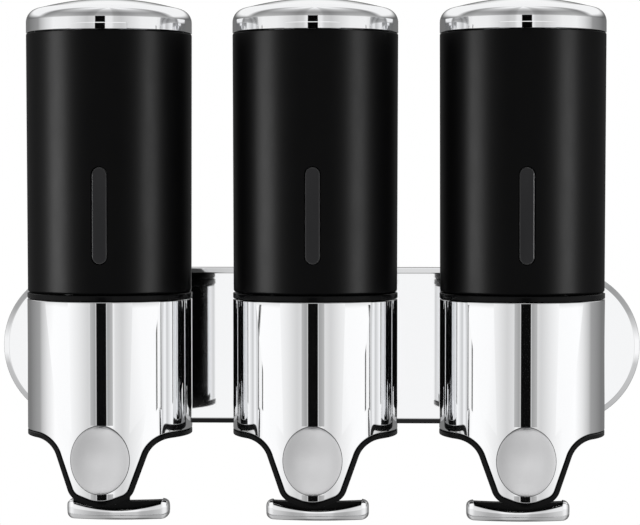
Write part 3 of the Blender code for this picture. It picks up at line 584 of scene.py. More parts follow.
def rounded_edge():
    """Half of the lower edge, tip to shoulder, as (half width, depth) points with their normals."""
    corner_depth = tongue_depth - CORNER_ABOVE_TIP
    corner_half = TONGUE_ROOT - math.tan(TONGUE_TAPER) * (corner_depth - SHOULDER_DEPTH)
    peak = corner_depth + corner_half * math.tan(TIP_SLOPE)
    tip_round = (peak - tongue_depth) / (1 / math.cos(TIP_SLOPE) - 1)
    corners = [(-corner_half, corner_depth, 0.0), (0.0, peak, tip_round),
               (corner_half, corner_depth, CORNER_ROUND),
               (TONGUE_ROOT, SHOULDER_DEPTH, SHOULDER_ROUND), (shell_radius, SHOULDER_DEPTH, 0.0)]
    line = [Vector(p) for p in softened(corners, False, 4.0)]
    found = []
    for before, here, after in zip(line, line[1:], line[2:]):
        run = after - before
        if here.x >= -1e-6 and (not found or (here - found[-1][0]).length > 0.3 * MM):
            found.append((here, Vector((run.y, -run.x)).normalized()))
    found[0] = (Vector((0.0, tongue_depth)), Vector((0.0, -1.0)))
    return found


HALF_EDGE = rounded_edge()


SIDE_STATIONS = math.ceil((SHIELD_WRAP - math.asin(HALF_EDGE[-1][0].x / shell_radius)) / math.radians(3.0))


def edge_ring(inset):
    """(angle, height) points of the whole lower edge at an inset, from the left end to the right."""
    half = []
    for spot, normal in HALF_EDGE:
        place = spot + normal * inset
        half.append((math.asin(max(0.0, place.x) / shell_radius), joint_z - place.y))
    last = half[-1][0]
    for k in range(1, SIDE_STATIONS + 1):
        half.append((last + (SHIELD_WRAP - last) * k / SIDE_STATIONS, joint_z - SHOULDER_DEPTH + inset))
    return [(-a, z) for a, z in reversed(half[1:])] + half


def top_ring(height):
    """(angle, height) points along the top, shared out as the lower edge is."""
    spots = [(shell_radius * a, z) for a, z in edge_ring(0.0)]
    runs = [0.0]
    for (x0, z0), (x1, z1) in zip(spots, spots[1:]):
        runs.append(runs[-1] + math.hypot(x1 - x0, z1 - z0))
    return [(SHIELD_WRAP * (2 * run / runs[-1] - 1), height) for run in runs]


def between(first, second, share):
    return [(a0 + (a1 - a0) * share, z0 + (z1 - z0) * share) for (a0, z0), (a1, z1) in zip(first, second)]


def shell_normals(made, centre):
    """Exact round normals wherever a face stands upright round the axis."""
    mesh = made.data
    normals = []
    for face in mesh.polygons:
        for index in face.loop_indices:
            spoke = mesh.vertices[mesh.loops[index].vertex_index].co - Vector((*centre, 0.0))
            spoke.z = 0.0
            spoke.normalize()
            facing = face.normal.dot(spoke)
            usual = mesh.corner_normals[index].vector.copy()
            normals.append(spoke * math.copysign(1.0, facing) if abs(facing) > 0.995 else usual)
    mesh.normals_split_custom_set(normals)


for side, centre in AXES.items():
    inner = shell_radius - SHIELD_THICK
    rings = [(edge_ring(BORDER), inner)]
    for k in range(6):
        turn = math.pi / 2 * k / 5
        rings.append((edge_ring(BORDER + LIP * (1 - math.cos(turn))),
                      shell_radius - LIP + LIP * math.sin(turn)))
    bottom = edge_ring(BORDER + LIP)
    top = top_ring(joint_z - LIP)
    rings += [(between(bottom, top, k / 24), shell_radius) for k in range(1, 25)]
    for k in range(1, 5):
        turn = math.pi / 2 * k / 4
        rings.append((top_ring(joint_z - LIP + LIP * math.sin(turn)),
                      shell_radius - LIP + LIP * math.cos(turn)))
    rings += [(between(top_ring(joint_z), edge_ring(BORDER), k / 6), inner) for k in range(6)]
    rows = [on_shell(centre, ring, radius) for ring, radius in rings]
    bm = bmesh.new()
    skinned(bm, rows + [rows[0]], False)
    bmesh.ops.remove_doubles(bm, verts=bm.verts, dist=1e-7)
    bmesh.ops.holes_fill(bm, edges=[e for e in bm.edges if e.is_boundary])
    shield = piece(side + "_chrome_shield", bm, chrome, 40.0)
    shell_normals(shield, centre)
    fit(shield, side + "_dispenser", "chrome", side + "_front_shield")

# Lower housings
# Black ABS shells inside the shields. Their lower edge comes forward under the chrome as a border, and
# the boss behind has the T slot that hangs on the bracket's hook.

HOUSING_WALL = 1.6 * MM
GAP = 0.3 * MM
REAR_STEP = 1e-3
BOSS_WIDTH = 28.0 * MM
BOSS_TOP = 18.0 * MM
BOSS_BOTTOM = -18.0 * MM
SLOT_CLEAR = 0.4 * MM
SLOT_ROOF = 4.0 * MM

for side, centre in AXES.items():
    under = shell_radius - SHIELD_THICK - GAP
    inner = under - HOUSING_WALL
    ledge = BORDER - GAP
    rear = [SHIELD_WRAP + REAR_STEP + (math.pi - SHIELD_WRAP - REAR_STEP) * k / 24 for k in range(25)]

    def whole(ring, rear_z):
        """A front ring carried on round the back."""
        return ring + [(a, rear_z) for a in rear] + [(-a, rear_z) for a in reversed(rear[:-1])]

    def housing_row(ring, rear_z, radius, rear_radius):
        points = whole(ring, rear_z)
        front_count = len(ring)
        return [on_shell(centre, [p], radius if i < front_count else rear_radius)[0]
                for i, p in enumerate(points)]

    foot_z = joint_z - SHOULDER_DEPTH
    full = shell_radius
    rows = [housing_row(edge_ring(0.0), foot_z, inner, inner)]
    for k in range(5):
        turn = math.pi / 2 * k / 4
        inset = LIP * (1 - math.cos(turn))
        radius = full - LIP + LIP * math.sin(turn)
        rows.append(housing_row(edge_ring(inset), foot_z + inset, radius, radius))
    rows.append(housing_row(edge_ring(ledge - LIP / 2), foot_z + ledge - LIP / 2, full, full))
    rows.append(housing_row(edge_ring(ledge), foot_z + ledge, full - LIP / 2, full))
    rows.append(housing_row(edge_ring(ledge), foot_z + ledge + LIP / 4, under, full))
    for k in range(1, 7):
        ring = between(edge_ring(ledge), top_ring(joint_z), k / 6)
        rows.append(housing_row(ring, foot_z + ledge + (SHOULDER_DEPTH - ledge) * k / 6, under, full))
    for k in range(6):
        ring = between(top_ring(joint_z), edge_ring(0.0), k / 6)
        rows.append(housing_row(ring, joint_z - SHOULDER_DEPTH * k / 6, inner, inner))
    bm = bmesh.new()
    skinned(bm, rows + [rows[0]])
    housing = piece(side + "_housing", bm, gloss, 40.0)
    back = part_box("middle_lower_housing")[1].y
    boss = block("boss", (centre[0] - BOSS_WIDTH / 2, centre[1] + inner - 0.2 * MM, BOSS_BOTTOM),
                 (centre[0] + BOSS_WIDTH / 2, back, BOSS_TOP), gloss, 1.0 * MM, "Z")
    joined(housing, boss, "UNION", 40.0)
    lip = hook_tip + HEAD_DEEP + SLOT_CLEAR
    head = HEAD_WIDTH / 2 + SLOT_CLEAR
    mouth = NECK_WIDTH / 2 + SLOT_CLEAR
    tee = [(-head, hook_tip - SLOT_CLEAR), (head, hook_tip - SLOT_CLEAR), (head, lip), (mouth, lip),
           (mouth, back + MM), (-mouth, back + MM), (-mouth, lip), (-head, lip)]
    slot = pushed("slot", [(centre[0] + x, y) for x, y in tee], "Z", foot_z - MM, BOSS_TOP - SLOT_ROOF, gloss)
    joined(housing, slot, "DIFFERENCE", 40.0)
    fit(housing, side + "_dispenser", "black_moulding", side + "_lower_housing")

# Thumb pads
# Oval inserts with a satin silver plating, dished for the thumb, clipped to the tongue. A turned-down rim
# meets the chrome. Their colour holds painted shade on the rim and painted light across the dish.

silver = Finish("satin_silver_plating", (0.78, 0.78, 0.79), 0.36, {"Metallic": 1.0})
facing = silver.node("SeparateXYZ", {}, {0: silver.node("NewGeometry", {}, {}, "Normal")}, 1)
spread = silver.node("TexCoord", {}, {}, "Generated")
across = silver.node("SeparateXYZ", {}, {0: spread}, 0)
upward = silver.node("SeparateXYZ", {}, {0: spread}, 2)
# Painted light: the dish's colour grows brighter towards the right and a little towards the bottom.
painted_light_across = 0.66 + 0.46 * silver.ease(across - 0.3 * upward, -0.3, 0.6)
# Painted shade: faces turned away from the front, on the rim, take the dark colour.
face = silver.ease(0.0 - facing, 0.55, 0.9) * painted_light_across * (0.92 + 0.08 * silver.grain(3.0, 4.0))
silver.tones(face, (0.2, 0.2, 0.205), (0.88, 0.88, 0.89))
silver.set("Roughness", 0.33 + 0.1 * silver.grain(0.8, 4.0))
silver.relief(silver.grain(0.12, 2.0), 0.006)

PAD_HIGH = 1.5 * MM
PAD_DISH = 0.8 * MM
PAD_STEPS = 96

for side, centre in AXES.items():
    low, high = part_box(side + "_thumb_pad")
    half_wide = (high.x - low.x) / 2
    half_tall = (high.z - low.z) / 2
    middle_z = (high.z + low.z) / 2
    bed = shell_radius + GAP

    def pad_row(share, lift):
        row = []
        for k in range(PAD_STEPS):
            turn = 2 * math.pi * k / PAD_STEPS
            angle = math.asin(half_wide * share * math.sin(turn) / shell_radius)
            spot = (angle, middle_z + half_tall * share * math.cos(turn))
            row.append(on_shell(centre, [spot], bed + lift)[0])
        return row

    rows = [pad_row(0.02, 0.0), pad_row(0.98, 0.0), pad_row(1.0, 0.15 * MM), pad_row(1.0, PAD_HIGH * 0.5)]
    for k in range(1, 7):
        turn = math.pi / 2 * k / 6
        rows.append(pad_row(1.0 - 0.06 * (1 - math.cos(turn)), PAD_HIGH * (0.5 + 0.5 * math.sin(turn))))
    for k in range(1, 13):
        share = 0.94 - 0.92 * k / 12
        rows.append(pad_row(share, PAD_HIGH - PAD_DISH * (0.5 + 0.5 * math.cos(math.pi * share / 0.94))))
    bm = bmesh.new()
    loops = skinned(bm, rows)
    for loop in (loops[0], loops[-1]):
        hub = bm.verts.new(sum((v.co for v in loop), Vector()) / PAD_STEPS)
        for i in range(PAD_STEPS):
            bm.faces.new((loop[i], loop[(i + 1) % PAD_STEPS], hub))
    pad = piece(side + "_silver_pad", bm, silver, 50.0)
    fit(pad, side + "_dispenser", "satin_silver", side + "_thumb_pad")

# Pump bases, barrels, balls and pins
# A black base plate with two lugs closes each housing. The natural acetal barrel stands in it under the
# tank's neck with a stainless ball in its seat, and a stainless pin carries the lever between the lugs.

acetal = Finish("natural_acetal", (0.8, 0.8, 0.77), 0.42, {"IOR": 1.48})
acetal.tones(acetal.grain(4.0, 3.0), (0.78, 0.78, 0.74), (0.84, 0.84, 0.81))
acetal.set("Roughness", 0.36 + 0.14 * acetal.grain(1.5, 3.0))
acetal.relief(acetal.grain(0.5, 2.0), 0.006)

BASE_THICK = 2.5 * MM
PLATE_TOP = -8.0 * MM
BARREL_BORE = 6.3 * MM
SEAT_THICK = 1.6 * MM
SEAT_HOLE = 3.0 * MM
SOCKET_DEEP = 4.0 * MM
STEM_RADIUS = 3.8 * MM
BARREL_FLOOR = 2.0 * MM
LUG_IN = 8.4 * MM
LUG_OUT = 11.4 * MM
LUG_ROUND = 3.6 * MM


def disc(radius, y, z, steps):
    """(y, z) points of a circle that faces sideways."""
    turns = [2 * math.pi * k / steps for k in range(steps)]
    return [(y + radius * math.cos(t), z + radius * math.sin(t)) for t in turns]


for side, centre in AXES.items():
    low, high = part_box(side + "_pump_base")
    pin_low, pin_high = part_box(side + "_lever_pin")
    pivot = (pin_low + pin_high) / 2
    pin_radius = (pin_high.z - pin_low.z) / 2
    radius = (high.x - low.x) / 2
    barrel_low, barrel_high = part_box(side + "_pump_barrel")
    barrel = (barrel_high.x - barrel_low.x) / 2
    corners = [(radius, PLATE_TOP, EASED), (radius, PLATE_TOP - BASE_THICK, EASED),
               (barrel + GAP, PLATE_TOP - BASE_THICK, CRISP), (barrel + GAP, PLATE_TOP, CRISP)]
    base = turned(side + "_pump_plate", corners, gloss, centre)
    for way in (-1, 1):
        near, far = sorted((pivot.x + way * LUG_IN, pivot.x + way * LUG_OUT))
        tail = [(pivot.y + LUG_ROUND * math.cos(t), pivot.z + LUG_ROUND * math.sin(t))
                for t in (math.pi * (1 + k / 16) for k in range(17))]
        shape = [(pivot.y - LUG_ROUND, PLATE_TOP - BASE_THICK / 2), *tail,
                 (pivot.y + LUG_ROUND, PLATE_TOP - BASE_THICK / 2)]
        joined(base, pushed("lug", shape, "X", near, far, gloss), "UNION")
    bore = disc(pin_radius + GAP, pivot.y, pivot.z, 32)
    joined(base, pushed("bore", bore, "X", pin_low.x - MM, pin_high.x + MM, gloss), "DIFFERENCE")
    fit(base, side + "_dispenser", "black_moulding", side + "_pump_base")

    seat = barrel_high.z - SOCKET_DEEP
    corners = [(barrel, barrel_high.z, CRISP), (barrel, barrel_low.z, SOFT),
               (STEM_RADIUS + GAP, barrel_low.z, CRISP),
               (STEM_RADIUS + GAP, barrel_low.z + BARREL_FLOOR, SHARP),
               (BARREL_BORE, barrel_low.z + BARREL_FLOOR, EASED), (BARREL_BORE, seat - SEAT_THICK, CRISP),
               (SEAT_HOLE, seat - SEAT_THICK, CRISP), (SEAT_HOLE, seat, CRISP),
               (NECK_RADIUS + GAP, seat, CRISP), (NECK_RADIUS + GAP, barrel_high.z, CRISP)]
    tube = turned(side + "_acetal_barrel", corners, acetal, centre, 64)
    fit(tube, side + "_dispenser", "white_acetal", side + "_pump_barrel")

    low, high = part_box(side + "_inlet_ball")
    ball_radius = (high.z - low.z) / 2
    bm = bmesh.new()
    bmesh.ops.create_icosphere(bm, subdivisions=4, radius=ball_radius)
    bmesh.ops.translate(bm, verts=bm.verts, vec=(low + high) / 2)
    ball = piece(side + "_steel_ball", bm, steel)
    fit(ball, side + "_dispenser", "steel", side + "_inlet_ball")

    ends = 0.25 * MM
    bm = bmesh.new()
    spans = [(pin_low.x, pin_radius - ends), (pin_low.x + ends, pin_radius), (pin_high.x - ends, pin_radius),
             (pin_high.x, pin_radius - ends)]
    rows = [[(x, y, z) for y, z in disc(r, pivot.y, pivot.z, 32)] for x, r in spans]
    skinned(bm, rows, capped=True)
    pin = piece(side + "_steel_pin", bm, steel)
    fit(pin, side + "_dispenser", "steel", side + "_lever_pin")

# Plungers, spouts and springs
# A hollow acetal plunger with a piston head and a lift flange slides in each barrel. A rubber spout is
# pushed on its end, and a stainless coil between barrel and flange brings it back down.

rubber = Finish("black_rubber", (0.02, 0.02, 0.02), 0.75)
rubber.tones(rubber.grain(2.0, 3.0), (0.014, 0.014, 0.014), (0.028, 0.028, 0.028))
rubber.set("Roughness", 0.66 + 0.2 * rubber.grain(1.0, 3.0))
rubber.relief(rubber.grain(0.3, 3.0), 0.02)

STEM_BORE = 1.9 * MM
PISTON_HIGH = 2.6 * MM
FLANGE_RADIUS = 7.4 * MM
FLANGE_TOP = -21.0 * MM
FLANGE_THICK = 2.0 * MM
SPOUT_COLLAR = 2.0 * MM
TIP_RADIUS = 2.6 * MM
TIP_BORE = 1.4 * MM
WIRE = 0.45 * MM
SPRING_TURNS = 5

for side, centre in AXES.items():
    low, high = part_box(side + "_plunger")
    piston = BARREL_BORE - GAP
    head = high.z - PISTON_HIGH
    corners = [(piston, high.z, CRISP), (piston, head, CRISP), (STEM_RADIUS, head, CRISP),
               (STEM_RADIUS, FLANGE_TOP, EASED), (FLANGE_RADIUS, FLANGE_TOP, EASED),
               (FLANGE_RADIUS, FLANGE_TOP - FLANGE_THICK, EASED),
               (STEM_RADIUS, FLANGE_TOP - FLANGE_THICK, EASED),
               (STEM_RADIUS, low.z, CRISP), (STEM_BORE, low.z, CRISP), (STEM_BORE, high.z, CRISP)]
    plunger = turned(side + "_acetal_plunger", corners, acetal, centre, 64)
    fit(plunger, side + "_plunger", "white_acetal", side + "_plunger")

    low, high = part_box(side + "_spout")
    corners = [(STEM_RADIUS, high.z, CRISP), (STEM_RADIUS, high.z - SPOUT_COLLAR, 1.5 * MM),
               (TIP_RADIUS, low.z, EASED), (TIP_BORE, low.z, SHARP),
               (STEM_BORE, high.z - SPOUT_COLLAR, SOFT), (STEM_BORE, high.z, SHARP)]
    spout = turned(side + "_rubber_spout", corners, rubber, centre, 64)
    fit(spout, side + "_plunger", "black_rubber", side + "_spout")

    low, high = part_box(side + "_return_spring")
    coil = (high.x - low.x) / 2 - WIRE
    bm = bmesh.new()
    rows = []
    steps = SPRING_TURNS * 36
    for k in range(steps + 1):
        turn = 2 * math.pi * SPRING_TURNS * k / steps
        rise = low.z + WIRE + (high.z - low.z - 2 * WIRE) * k / steps
        out = Vector((math.cos(turn), math.sin(turn), 0.0))
        core = Vector((*centre, rise)) + out * coil
        rows.append([core + out * (WIRE * math.cos(t)) + Vector((0.0, 0.0, WIRE * math.sin(t)))
                     for t in (2 * math.pi * j / 12 for j in range(12))])
    skinned(bm, rows, capped=True)
    spring = piece(side + "_coil_spring", bm, steel)
    fit(spring, side + "_dispenser", "steel", side + "_return_spring")
    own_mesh(spring)

# Caps
# Chrome-plated lids with an upright skirt and a shallow dome, a flat tab at the front to lift them by,
# and a plug inside that carries the rubber seal.

SKIRT = 4.2 * MM
SHOULDER = 5.4 * MM
CAP_WALL = 1.5 * MM
CAP_ROOF = 1.2 * MM
PLUG_WALL = 1.6 * MM
SEAL_THICK = 1.2 * MM
TAB_WIDTH = 21.5 * MM
TAB_HEIGHT = 2.4 * MM
TAB_PROUD = 0.35 * MM
TAB_CHAMFER = 0.3 * MM


def dome(radius, base, rise, steps):
    """(radius, height) points from the middle of the top down to the skirt."""
    chord = radius - SHOULDER * 0.75
    lift = rise - SKIRT - SHOULDER * 0.95
    sphere = (chord ** 2 + lift ** 2) / (2 * lift)
    points = []
    for k in range(steps + 1):
        r = chord * k / steps * 0.9
        points.append((r, base + rise - sphere + math.sqrt(sphere ** 2 - r ** 2), 0.0))
    for k in range(steps + 1):
        turn = math.radians(76 - 76 * k / steps)
        r = radius - SHOULDER + SHOULDER * math.cos(turn)
        points.append((r, base + SKIRT + SHOULDER * math.sin(turn), 0.0))
    return points


for side, centre in AXES.items():
    low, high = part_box(side + "_cap")
    ring_low, ring_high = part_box(side + "_tank")
    base_z = ring_high.z + GAP
    radius = (ring_high.x - ring_low.x) / 2
    bore = radius - FOOT_NARROWING - TANK_WALL
    plug = bore - 2 * GAP - SEAL_THICK
    roof = base_z + SKIRT - CAP_ROOF
    outer = dome(radius, base_z, high.z - base_z, 14)
    under = dome(radius - CAP_WALL, base_z, high.z - base_z - CAP_WALL, 10)
    corners = outer + [(radius, base_z, CRISP), (radius - CAP_WALL, base_z, SHARP),
                       (radius - CAP_WALL, roof, SHARP), (plug, roof, SHARP), (plug, low.z, CRISP),
                       (plug - PLUG_WALL, low.z, CRISP), (plug - PLUG_WALL, roof, SOFT)]
    corners += [p for p in reversed(under) if p[0] < plug - PLUG_WALL - MM]
    lid = turned(side + "_chrome_lid", corners, chrome, centre, 144, False)
    bm = bmesh.new()
    rows = []
    for up, shy in ((0.0, 0.0), (TAB_HEIGHT - TAB_CHAMFER, 0.0), (TAB_HEIGHT, TAB_CHAMFER)):
        half = math.asin((TAB_WIDTH / 2 - shy) / radius)
        lean = TAB_CHAMFER / radius
        outer_reach = radius + TAB_PROUD - shy
        outline = [(-half, radius - shy)] + [((half - lean) * (k / 20 - 1), outer_reach) for k in range(41)]
        outline += [(half, radius - shy), (half, radius - 0.8 * MM), (-half, radius - 0.8 * MM)]
        rows.append([on_shell(centre, [(t, base_z + up)], r)[0] for t, r in outline])
    skinned(bm, rows, capped=True)
    joined(lid, piece("tab", bm, chrome), "UNION")
    true_round(lid, centre, radius - 0.05 * MM)
    fit(lid, side + "_cap", "chrome", side + "_cap")

    low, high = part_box(side + "_cap_seal")
    outside = (high.x - low.x) / 2
    inside = plug + GAP
    corners = [(outside, high.z, SOFT), (outside, low.z, SOFT), (inside, low.z, SHARP),
               (inside, high.z, SHARP)]
    seal = turned(side + "_lid_seal", corners, rubber, centre, 96)
    fit(seal, side + "_cap", "black_rubber", side + "_cap_seal")

# Levers
# Black nylon bell-cranks: two prongs under the plunger's flange, a hub on the pin, an upright arm and a
# bowed foot, which is the core of the pull bar and stands a little above its chrome.

HUB_RADIUS = 3.4 * MM
ARM_WIDTH = 10.0 * MM
ARM_THICK = 3.6 * MM
PRONG_THICK = 2.5 * MM
PRONG_DROP = 3.0 * MM
PRONG_REACH = 5.0 * MM
PRONG_CLEAR = 0.8 * MM
NOSE = 2.5 * MM
BAR_BOW = 4.0 * MM
BAR_DEEP = 8.0 * MM
BAR_WALL = 1.8 * MM
CORE_LENGTH = 35.4 * MM
CORE_TOP = 7.3 * MM
OVERLAP = 0.2 * MM

bar_low, bar_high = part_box("middle_pull_bar")
bar_half = (bar_high.x - bar_low.x) / 2
bar_front = bar_low.y


def bow(across):
    """How far the bar has curved back at a distance from its middle."""
    radius = (bar_half ** 2 + BAR_BOW ** 2) / (2 * BAR_BOW)
    return radius - math.sqrt(radius ** 2 - across ** 2)


def core_outline(across, grow):
    """Plan of the bar's core, or of its pocket where grow is a clearance."""
    half = CORE_LENGTH / 2
    steps = [half * k / 16 for k in range(-16, 17)]
    near = [(across + x + math.copysign(grow, x), bar_front + BAR_WALL + bow(abs(x)) - grow) for x in steps]
    far = [(across + x + math.copysign(grow, x), bar_front + BAR_DEEP - BAR_WALL + bow(abs(x)) + grow)
           for x in reversed(steps)]
    return near + far


core_low = bar_low.z + BAR_WALL
core_high = bar_low.z + CORE_TOP
for side, centre in AXES.items():
    pin_low, pin_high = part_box(side + "_lever_pin")
    pivot = (pin_low + pin_high) / 2
    arm = pushed(side + "_lever", core_outline(centre[0], 0.0), "Z", core_low, core_high, nylon)
    arm_front = bar_front + BAR_WALL + OVERLAP
    shank = block("shank", (centre[0] - ARM_WIDTH / 2, arm_front, core_high - 2 * MM),
                  (centre[0] + ARM_WIDTH / 2, arm_front + ARM_THICK, pivot.z), nylon, 1.0 * MM)
    joined(arm, shank, "UNION")
    hub = LUG_IN - GAP
    hub_disc = disc(HUB_RADIUS, pivot.y, pivot.z, 48)
    joined(arm, pushed("hub", hub_disc, "X", centre[0] - hub, centre[0] + hub, nylon), "UNION")
    for way in (-1, 1):
        near, far = sorted((centre[0] + way * (STEM_RADIUS + PRONG_CLEAR),
                            centre[0] + way * (hub - OVERLAP / 2)))
        top = pivot.z + NOSE - PRONG_DROP
        prong = block("prong", (near, centre[1] - PRONG_REACH, top - PRONG_THICK), (far, pivot.y, top), nylon)
        joined(arm, prong, "UNION")
        nose = disc(NOSE, centre[1], pivot.z, 48)
        joined(arm, pushed("nose", nose, "X", near + OVERLAP / 4, far - OVERLAP / 4, nylon), "UNION")
    pin_bore = disc((pin_high.z - pin_low.z) / 2 + GAP, pivot.y, pivot.z, 48)
    bore = pushed("bore", pin_bore, "X", centre[0] - hub - MM, centre[0] + hub + MM, nylon)
    joined(arm, bore, "DIFFERENCE")
    fit(arm, side + "_lever", "black_moulding", side + "_lever_arm")

# Pull bars
# Chrome-plated shells pressed over the lever's bowed foot. Each has a soft crease along its front, and its
# top is scooped so that the black core shows as a crescent.

SCOOP_END = 1.0 * MM
SCOOP_MIDDLE = 3.3 * MM
BAR_HEIGHT = 7.6 * MM
END_ROUND = 3.0 * MM
CREASE_UP = 1.9 * MM
CREASE_IN = 0.2 * MM
CREASE_BACK = 0.1 * MM
CREASE_ROUND = 0.1 * MM
TOE_BACK = 0.75 * MM
HEEL_BACK = 0.3 * MM
HEEL_UP = 0.8 * MM
WAIST_ROUND = 1.5 * MM
BROW_BACK = 0.05 * MM
BROW_DROP = 0.5 * MM
BROW_ROUND = 0.6 * MM
SLICES = 96

for side, centre in AXES.items():
    bm = bmesh.new()
    rows = []
    for k in range(SLICES + 1):
        across = bar_half * math.sin(math.pi / 2 * (2 * k / SLICES - 1))
        end = max(0.0, abs(across) - (bar_half - END_ROUND)) / END_ROUND
        shrink = END_ROUND * 0.75 * (1 - math.sqrt(max(0.0, 1 - end ** 2)))
        reach = 2 * abs(across) / CORE_LENGTH
        scoop = SCOOP_END + (SCOOP_MIDDLE - SCOOP_END) * (1 - reach ** 2) if reach < 1 else 0.0
        front = bar_front + bow(abs(across)) + shrink
        back = bar_front + bow(abs(across)) + BAR_DEEP - shrink
        foot = bar_low.z + shrink
        head = bar_low.z + BAR_HEIGHT - scoop - shrink
        crease = foot + (CREASE_UP - shrink * 0.3)
        waist = (crease + head) / 2
        face = front + CREASE_BACK
        corners = [(front + TOE_BACK, foot, BROW_ROUND), (front + HEEL_BACK, foot + HEEL_UP, SOFT),
                   (face, crease - CREASE_IN, CREASE_ROUND), (face + CREASE_IN, crease, CREASE_ROUND),
                   (face, crease + CREASE_IN, CREASE_ROUND), (front, waist, WAIST_ROUND),
                   (front + BROW_BACK, head - BROW_DROP, BROW_ROUND), (front + BROW_ROUND, head, EASED),
                   (back - MM, head, SOFT), (back, head - MM, SOFT), (back, foot + MM, SOFT),
                   (back - MM, foot, SOFT)]
        rows.append([(centre[0] + across, y, z) for y, z in softened(corners, True, arc_steps=6)])
    skinned(bm, rows, capped=True)
    bar = piece(side + "_chrome_bar", bm, chrome, 50.0)
    pocket = pushed("pocket", core_outline(centre[0], GAP), "Z", core_low - GAP, core_high + MM, chrome)
    joined(bar, pocket, "DIFFERENCE", 50.0)
    fit(bar, side + "_lever", "chrome", side + "_pull_bar")

# Stage
# A pale floor well below, and a soft box at each side that lights only the tanks and windows. Black flags
# stand close in front, with a grey fringe before the shields and plain before the caps. Only the gloss
# shows them, and the studio's levels, which are brightest at eye height.

CAMERA_PLACE = Vector((0.0307, -0.933, 0.0686))
CAMERA_AIM = Vector((0.0018, -0.066, 0.0368))
FLOOR_Z = -0.5
FLOOR_HALF = 1.1
BOX_FAR = 1.3
BOX_TALL = 0.5
FLAG_AHEAD = 8.0 * MM
FLAG_HALF = 6.6 * MM
FLAG_BLACK = 2.85 * MM
FLAG_LAP = 1.0 * MM
FLAG_OVER = 2.0 * MM
FLAG_UNDER = 1.4 * MM
FLAG_TONE = 0.003
FRINGE_TONE = 0.6
BOX_UP = 0.05
SOFT_BOXES = ((-70.0, 0.52, 21.0), (62.0, 0.44, 17.0))  # degrees from the front, width, watts
LENS = 125.1


camera = stand("camera", bpy.data.cameras.new("camera"))
camera.location = CAMERA_PLACE
camera.rotation_euler = (CAMERA_AIM - CAMERA_PLACE).to_track_quat("-Z", "Y").to_euler()
camera.data.lens = LENS
camera.data.sensor_width = 36.0
camera.data.clip_start = 0.01
bpy.context.scene.camera = camera
bpy.context.scene.view_settings.view_transform = "Standard"

paper = Finish("pale_floor", (0.8, 0.8, 0.8), 0.8)
bm = bmesh.new()
bmesh.ops.create_grid(bm, x_segments=8, y_segments=8, size=FLOOR_HALF)
bmesh.ops.translate(bm, verts=bm.verts, vec=(0.0, 0.0, FLOOR_Z))
floor = piece("floor", bm, paper)
floor.visible_glossy = False

lit_gloss = bpy.data.collections.new("lit_gloss")
for shown in [o for o in bpy.context.scene.objects if o.name.endswith(("_soap_tank", "_level_window"))]:
    lit_gloss.objects.link(shown)
for turn, width, power in SOFT_BOXES:
    lamp = bpy.data.lights.new("soft_box", "AREA")
    lamp.shape = "RECTANGLE"
    lamp.size = width
    lamp.size_y = BOX_TALL
    lamp.energy = power
    lamp_stand = stand("soft_box", lamp)
    angle = math.radians(turn)
    lamp_stand.location = (BOX_FAR * math.sin(angle), AXES["middle"][1] - BOX_FAR * math.cos(angle), BOX_UP)
    lamp_stand.rotation_euler = (math.pi / 2, 0.0, angle)
    lamp_stand.visible_camera = False
    lamp_stand.light_linking.receiver_collection = lit_gloss

flag_paint = bpy.data.materials.new("flag")
flag_paint.use_nodes = True
flag_paint.node_tree.nodes.clear()
card = Nodes(flag_paint.node_tree)
where = card.node("TexCoord", {}, {}, "Generated")
along = card.node("SeparateXYZ", {}, {0: where})
share = abs(along - 0.5) * 2.0
edge = FLAG_BLACK / FLAG_HALF
stops = [(0.0, FLAG_TONE), (edge - 0.015, FLAG_TONE), (edge + 0.01, FRINGE_TONE), (edge + 0.06, FRINGE_TONE),
         (edge + 0.1, 0.36), (1.0, 0.5)]
tone = card.node("ValToRGB", {"stops": stops}, {0: share})
glow = card.node("Emission", {}, {"Color": tone, "Strength": 1.0})
card.feed(card.tree.nodes.new("ShaderNodeOutputMaterial").inputs["Surface"], glow)

dark_paint = bpy.data.materials.new("black_flag")
dark_paint.use_nodes = True
dark_inputs = dark_paint.node_tree.nodes["Principled BSDF"].inputs
dark_inputs["Base Color"].default_value = (0.002, 0.002, 0.002, 1.0)
dark_inputs["Specular IOR Level"].default_value = 0.0

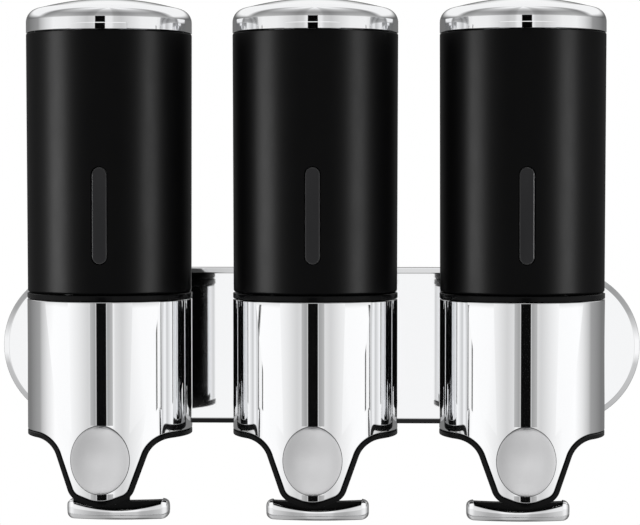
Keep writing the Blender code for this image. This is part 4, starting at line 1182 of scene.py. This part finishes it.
tip_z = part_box("middle_lower_housing")[0].z
pad_low, pad_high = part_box("middle_thumb_pad")
lid_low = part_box("middle_tank")[1].z
for side, centre in AXES.items():
    front = centre[1] - shell_radius - FLAG_AHEAD
    for flag_low, flag_high, half in ((tip_z - FLAG_UNDER, pad_low.z - FLAG_LAP, FLAG_HALF),
                                      (pad_high.z - FLAG_LAP, joint_z + FLAG_OVER, FLAG_HALF),
                                      (lid_low, lid_low + SKIRT + FLAG_OVER, FLAG_BLACK)):
        mesh = bpy.data.meshes.new("flag")
        x0 = centre[0] - half
        x1 = centre[0] + half
        corners = [(x0, flag_low), (x1, flag_low), (x1, flag_high), (x0, flag_high)]
        mesh.from_pydata([(x, front, z) for x, z in corners], [], [(0, 1, 2, 3)])
        mesh.materials.append(flag_paint if half > FLAG_BLACK else dark_paint)
        flag = stand("flag", mesh)
        for ray in ("camera", "diffuse", "shadow", "transmission"):
            setattr(flag, "visible_" + ray, False)

studio = bpy.data.worlds.new("studio")
bpy.context.scene.world = studio
studio.use_nodes = True
studio.node_tree.nodes.clear()
sky = Nodes(studio.node_tree)
way = sky.node("TexCoord", {}, {}, "Generated")
east = sky.node("SeparateXYZ", {}, {0: way}, 0)
north = sky.node("SeparateXYZ", {}, {0: way}, 1)
up = sky.node("SeparateXYZ", {}, {0: way}, 2)
# turn is 0 straight ahead of the dispensers and 1 at the wall; rise is in right angles
turn = abs(sky.maths("ARCTAN2", east, 0.0 - north)) * (1 / math.pi)
rise = sky.maths("ARCSINE", up, 0.0) * (2 / math.pi)
level = [(0.0, 0.98), (0.057, 0.98), (0.08, 0.75), (0.13, 0.68), (0.205, 0.86), (0.29, 1.03), (0.42, 1.06),
         (0.5, 0.82), (0.57, 0.55), (0.6, 0.36), (0.78, 0.2), (1.0, 0.2)]
at_eye = sky.node("ValToRGB", {"stops": level}, {0: turn})
heights = [(0.0, 0.02), (0.1, 0.02), (0.15, 0.45), (0.41, 0.6), (0.45, 1.0), (0.5, 1.0), (0.525, 0.86),
           (0.56, 0.62), (0.62, 0.4), (0.73, 0.33), (0.83, 0.55), (0.95, 1.0), (1.0, 1.0)]
by_height = sky.node("ValToRGB", {"stops": heights}, {0: rise * 0.5 + 0.5})
seen = at_eye * by_height
behind = sky.ease(turn, 0.53, 0.64) * sky.ease(rise, 0.1, 0.25)
seen = seen + behind * (0.95 - seen)
gloss_light = sky.node("Background", {}, {"Color": seen, "Strength": 1.0})
plain_light = sky.node("Background", {}, {"Color": (1.0, 1.0, 1.0, 1.0), "Strength": 1.0})
is_gloss = sky.node("LightPath", {}, {}, "Is Glossy Ray")
chosen = sky.node("MixShader", {}, {0: is_gloss, 1: plain_light, 2: gloss_light})
sky.feed(sky.tree.nodes.new("ShaderNodeOutputWorld").inputs["Surface"], chosen)
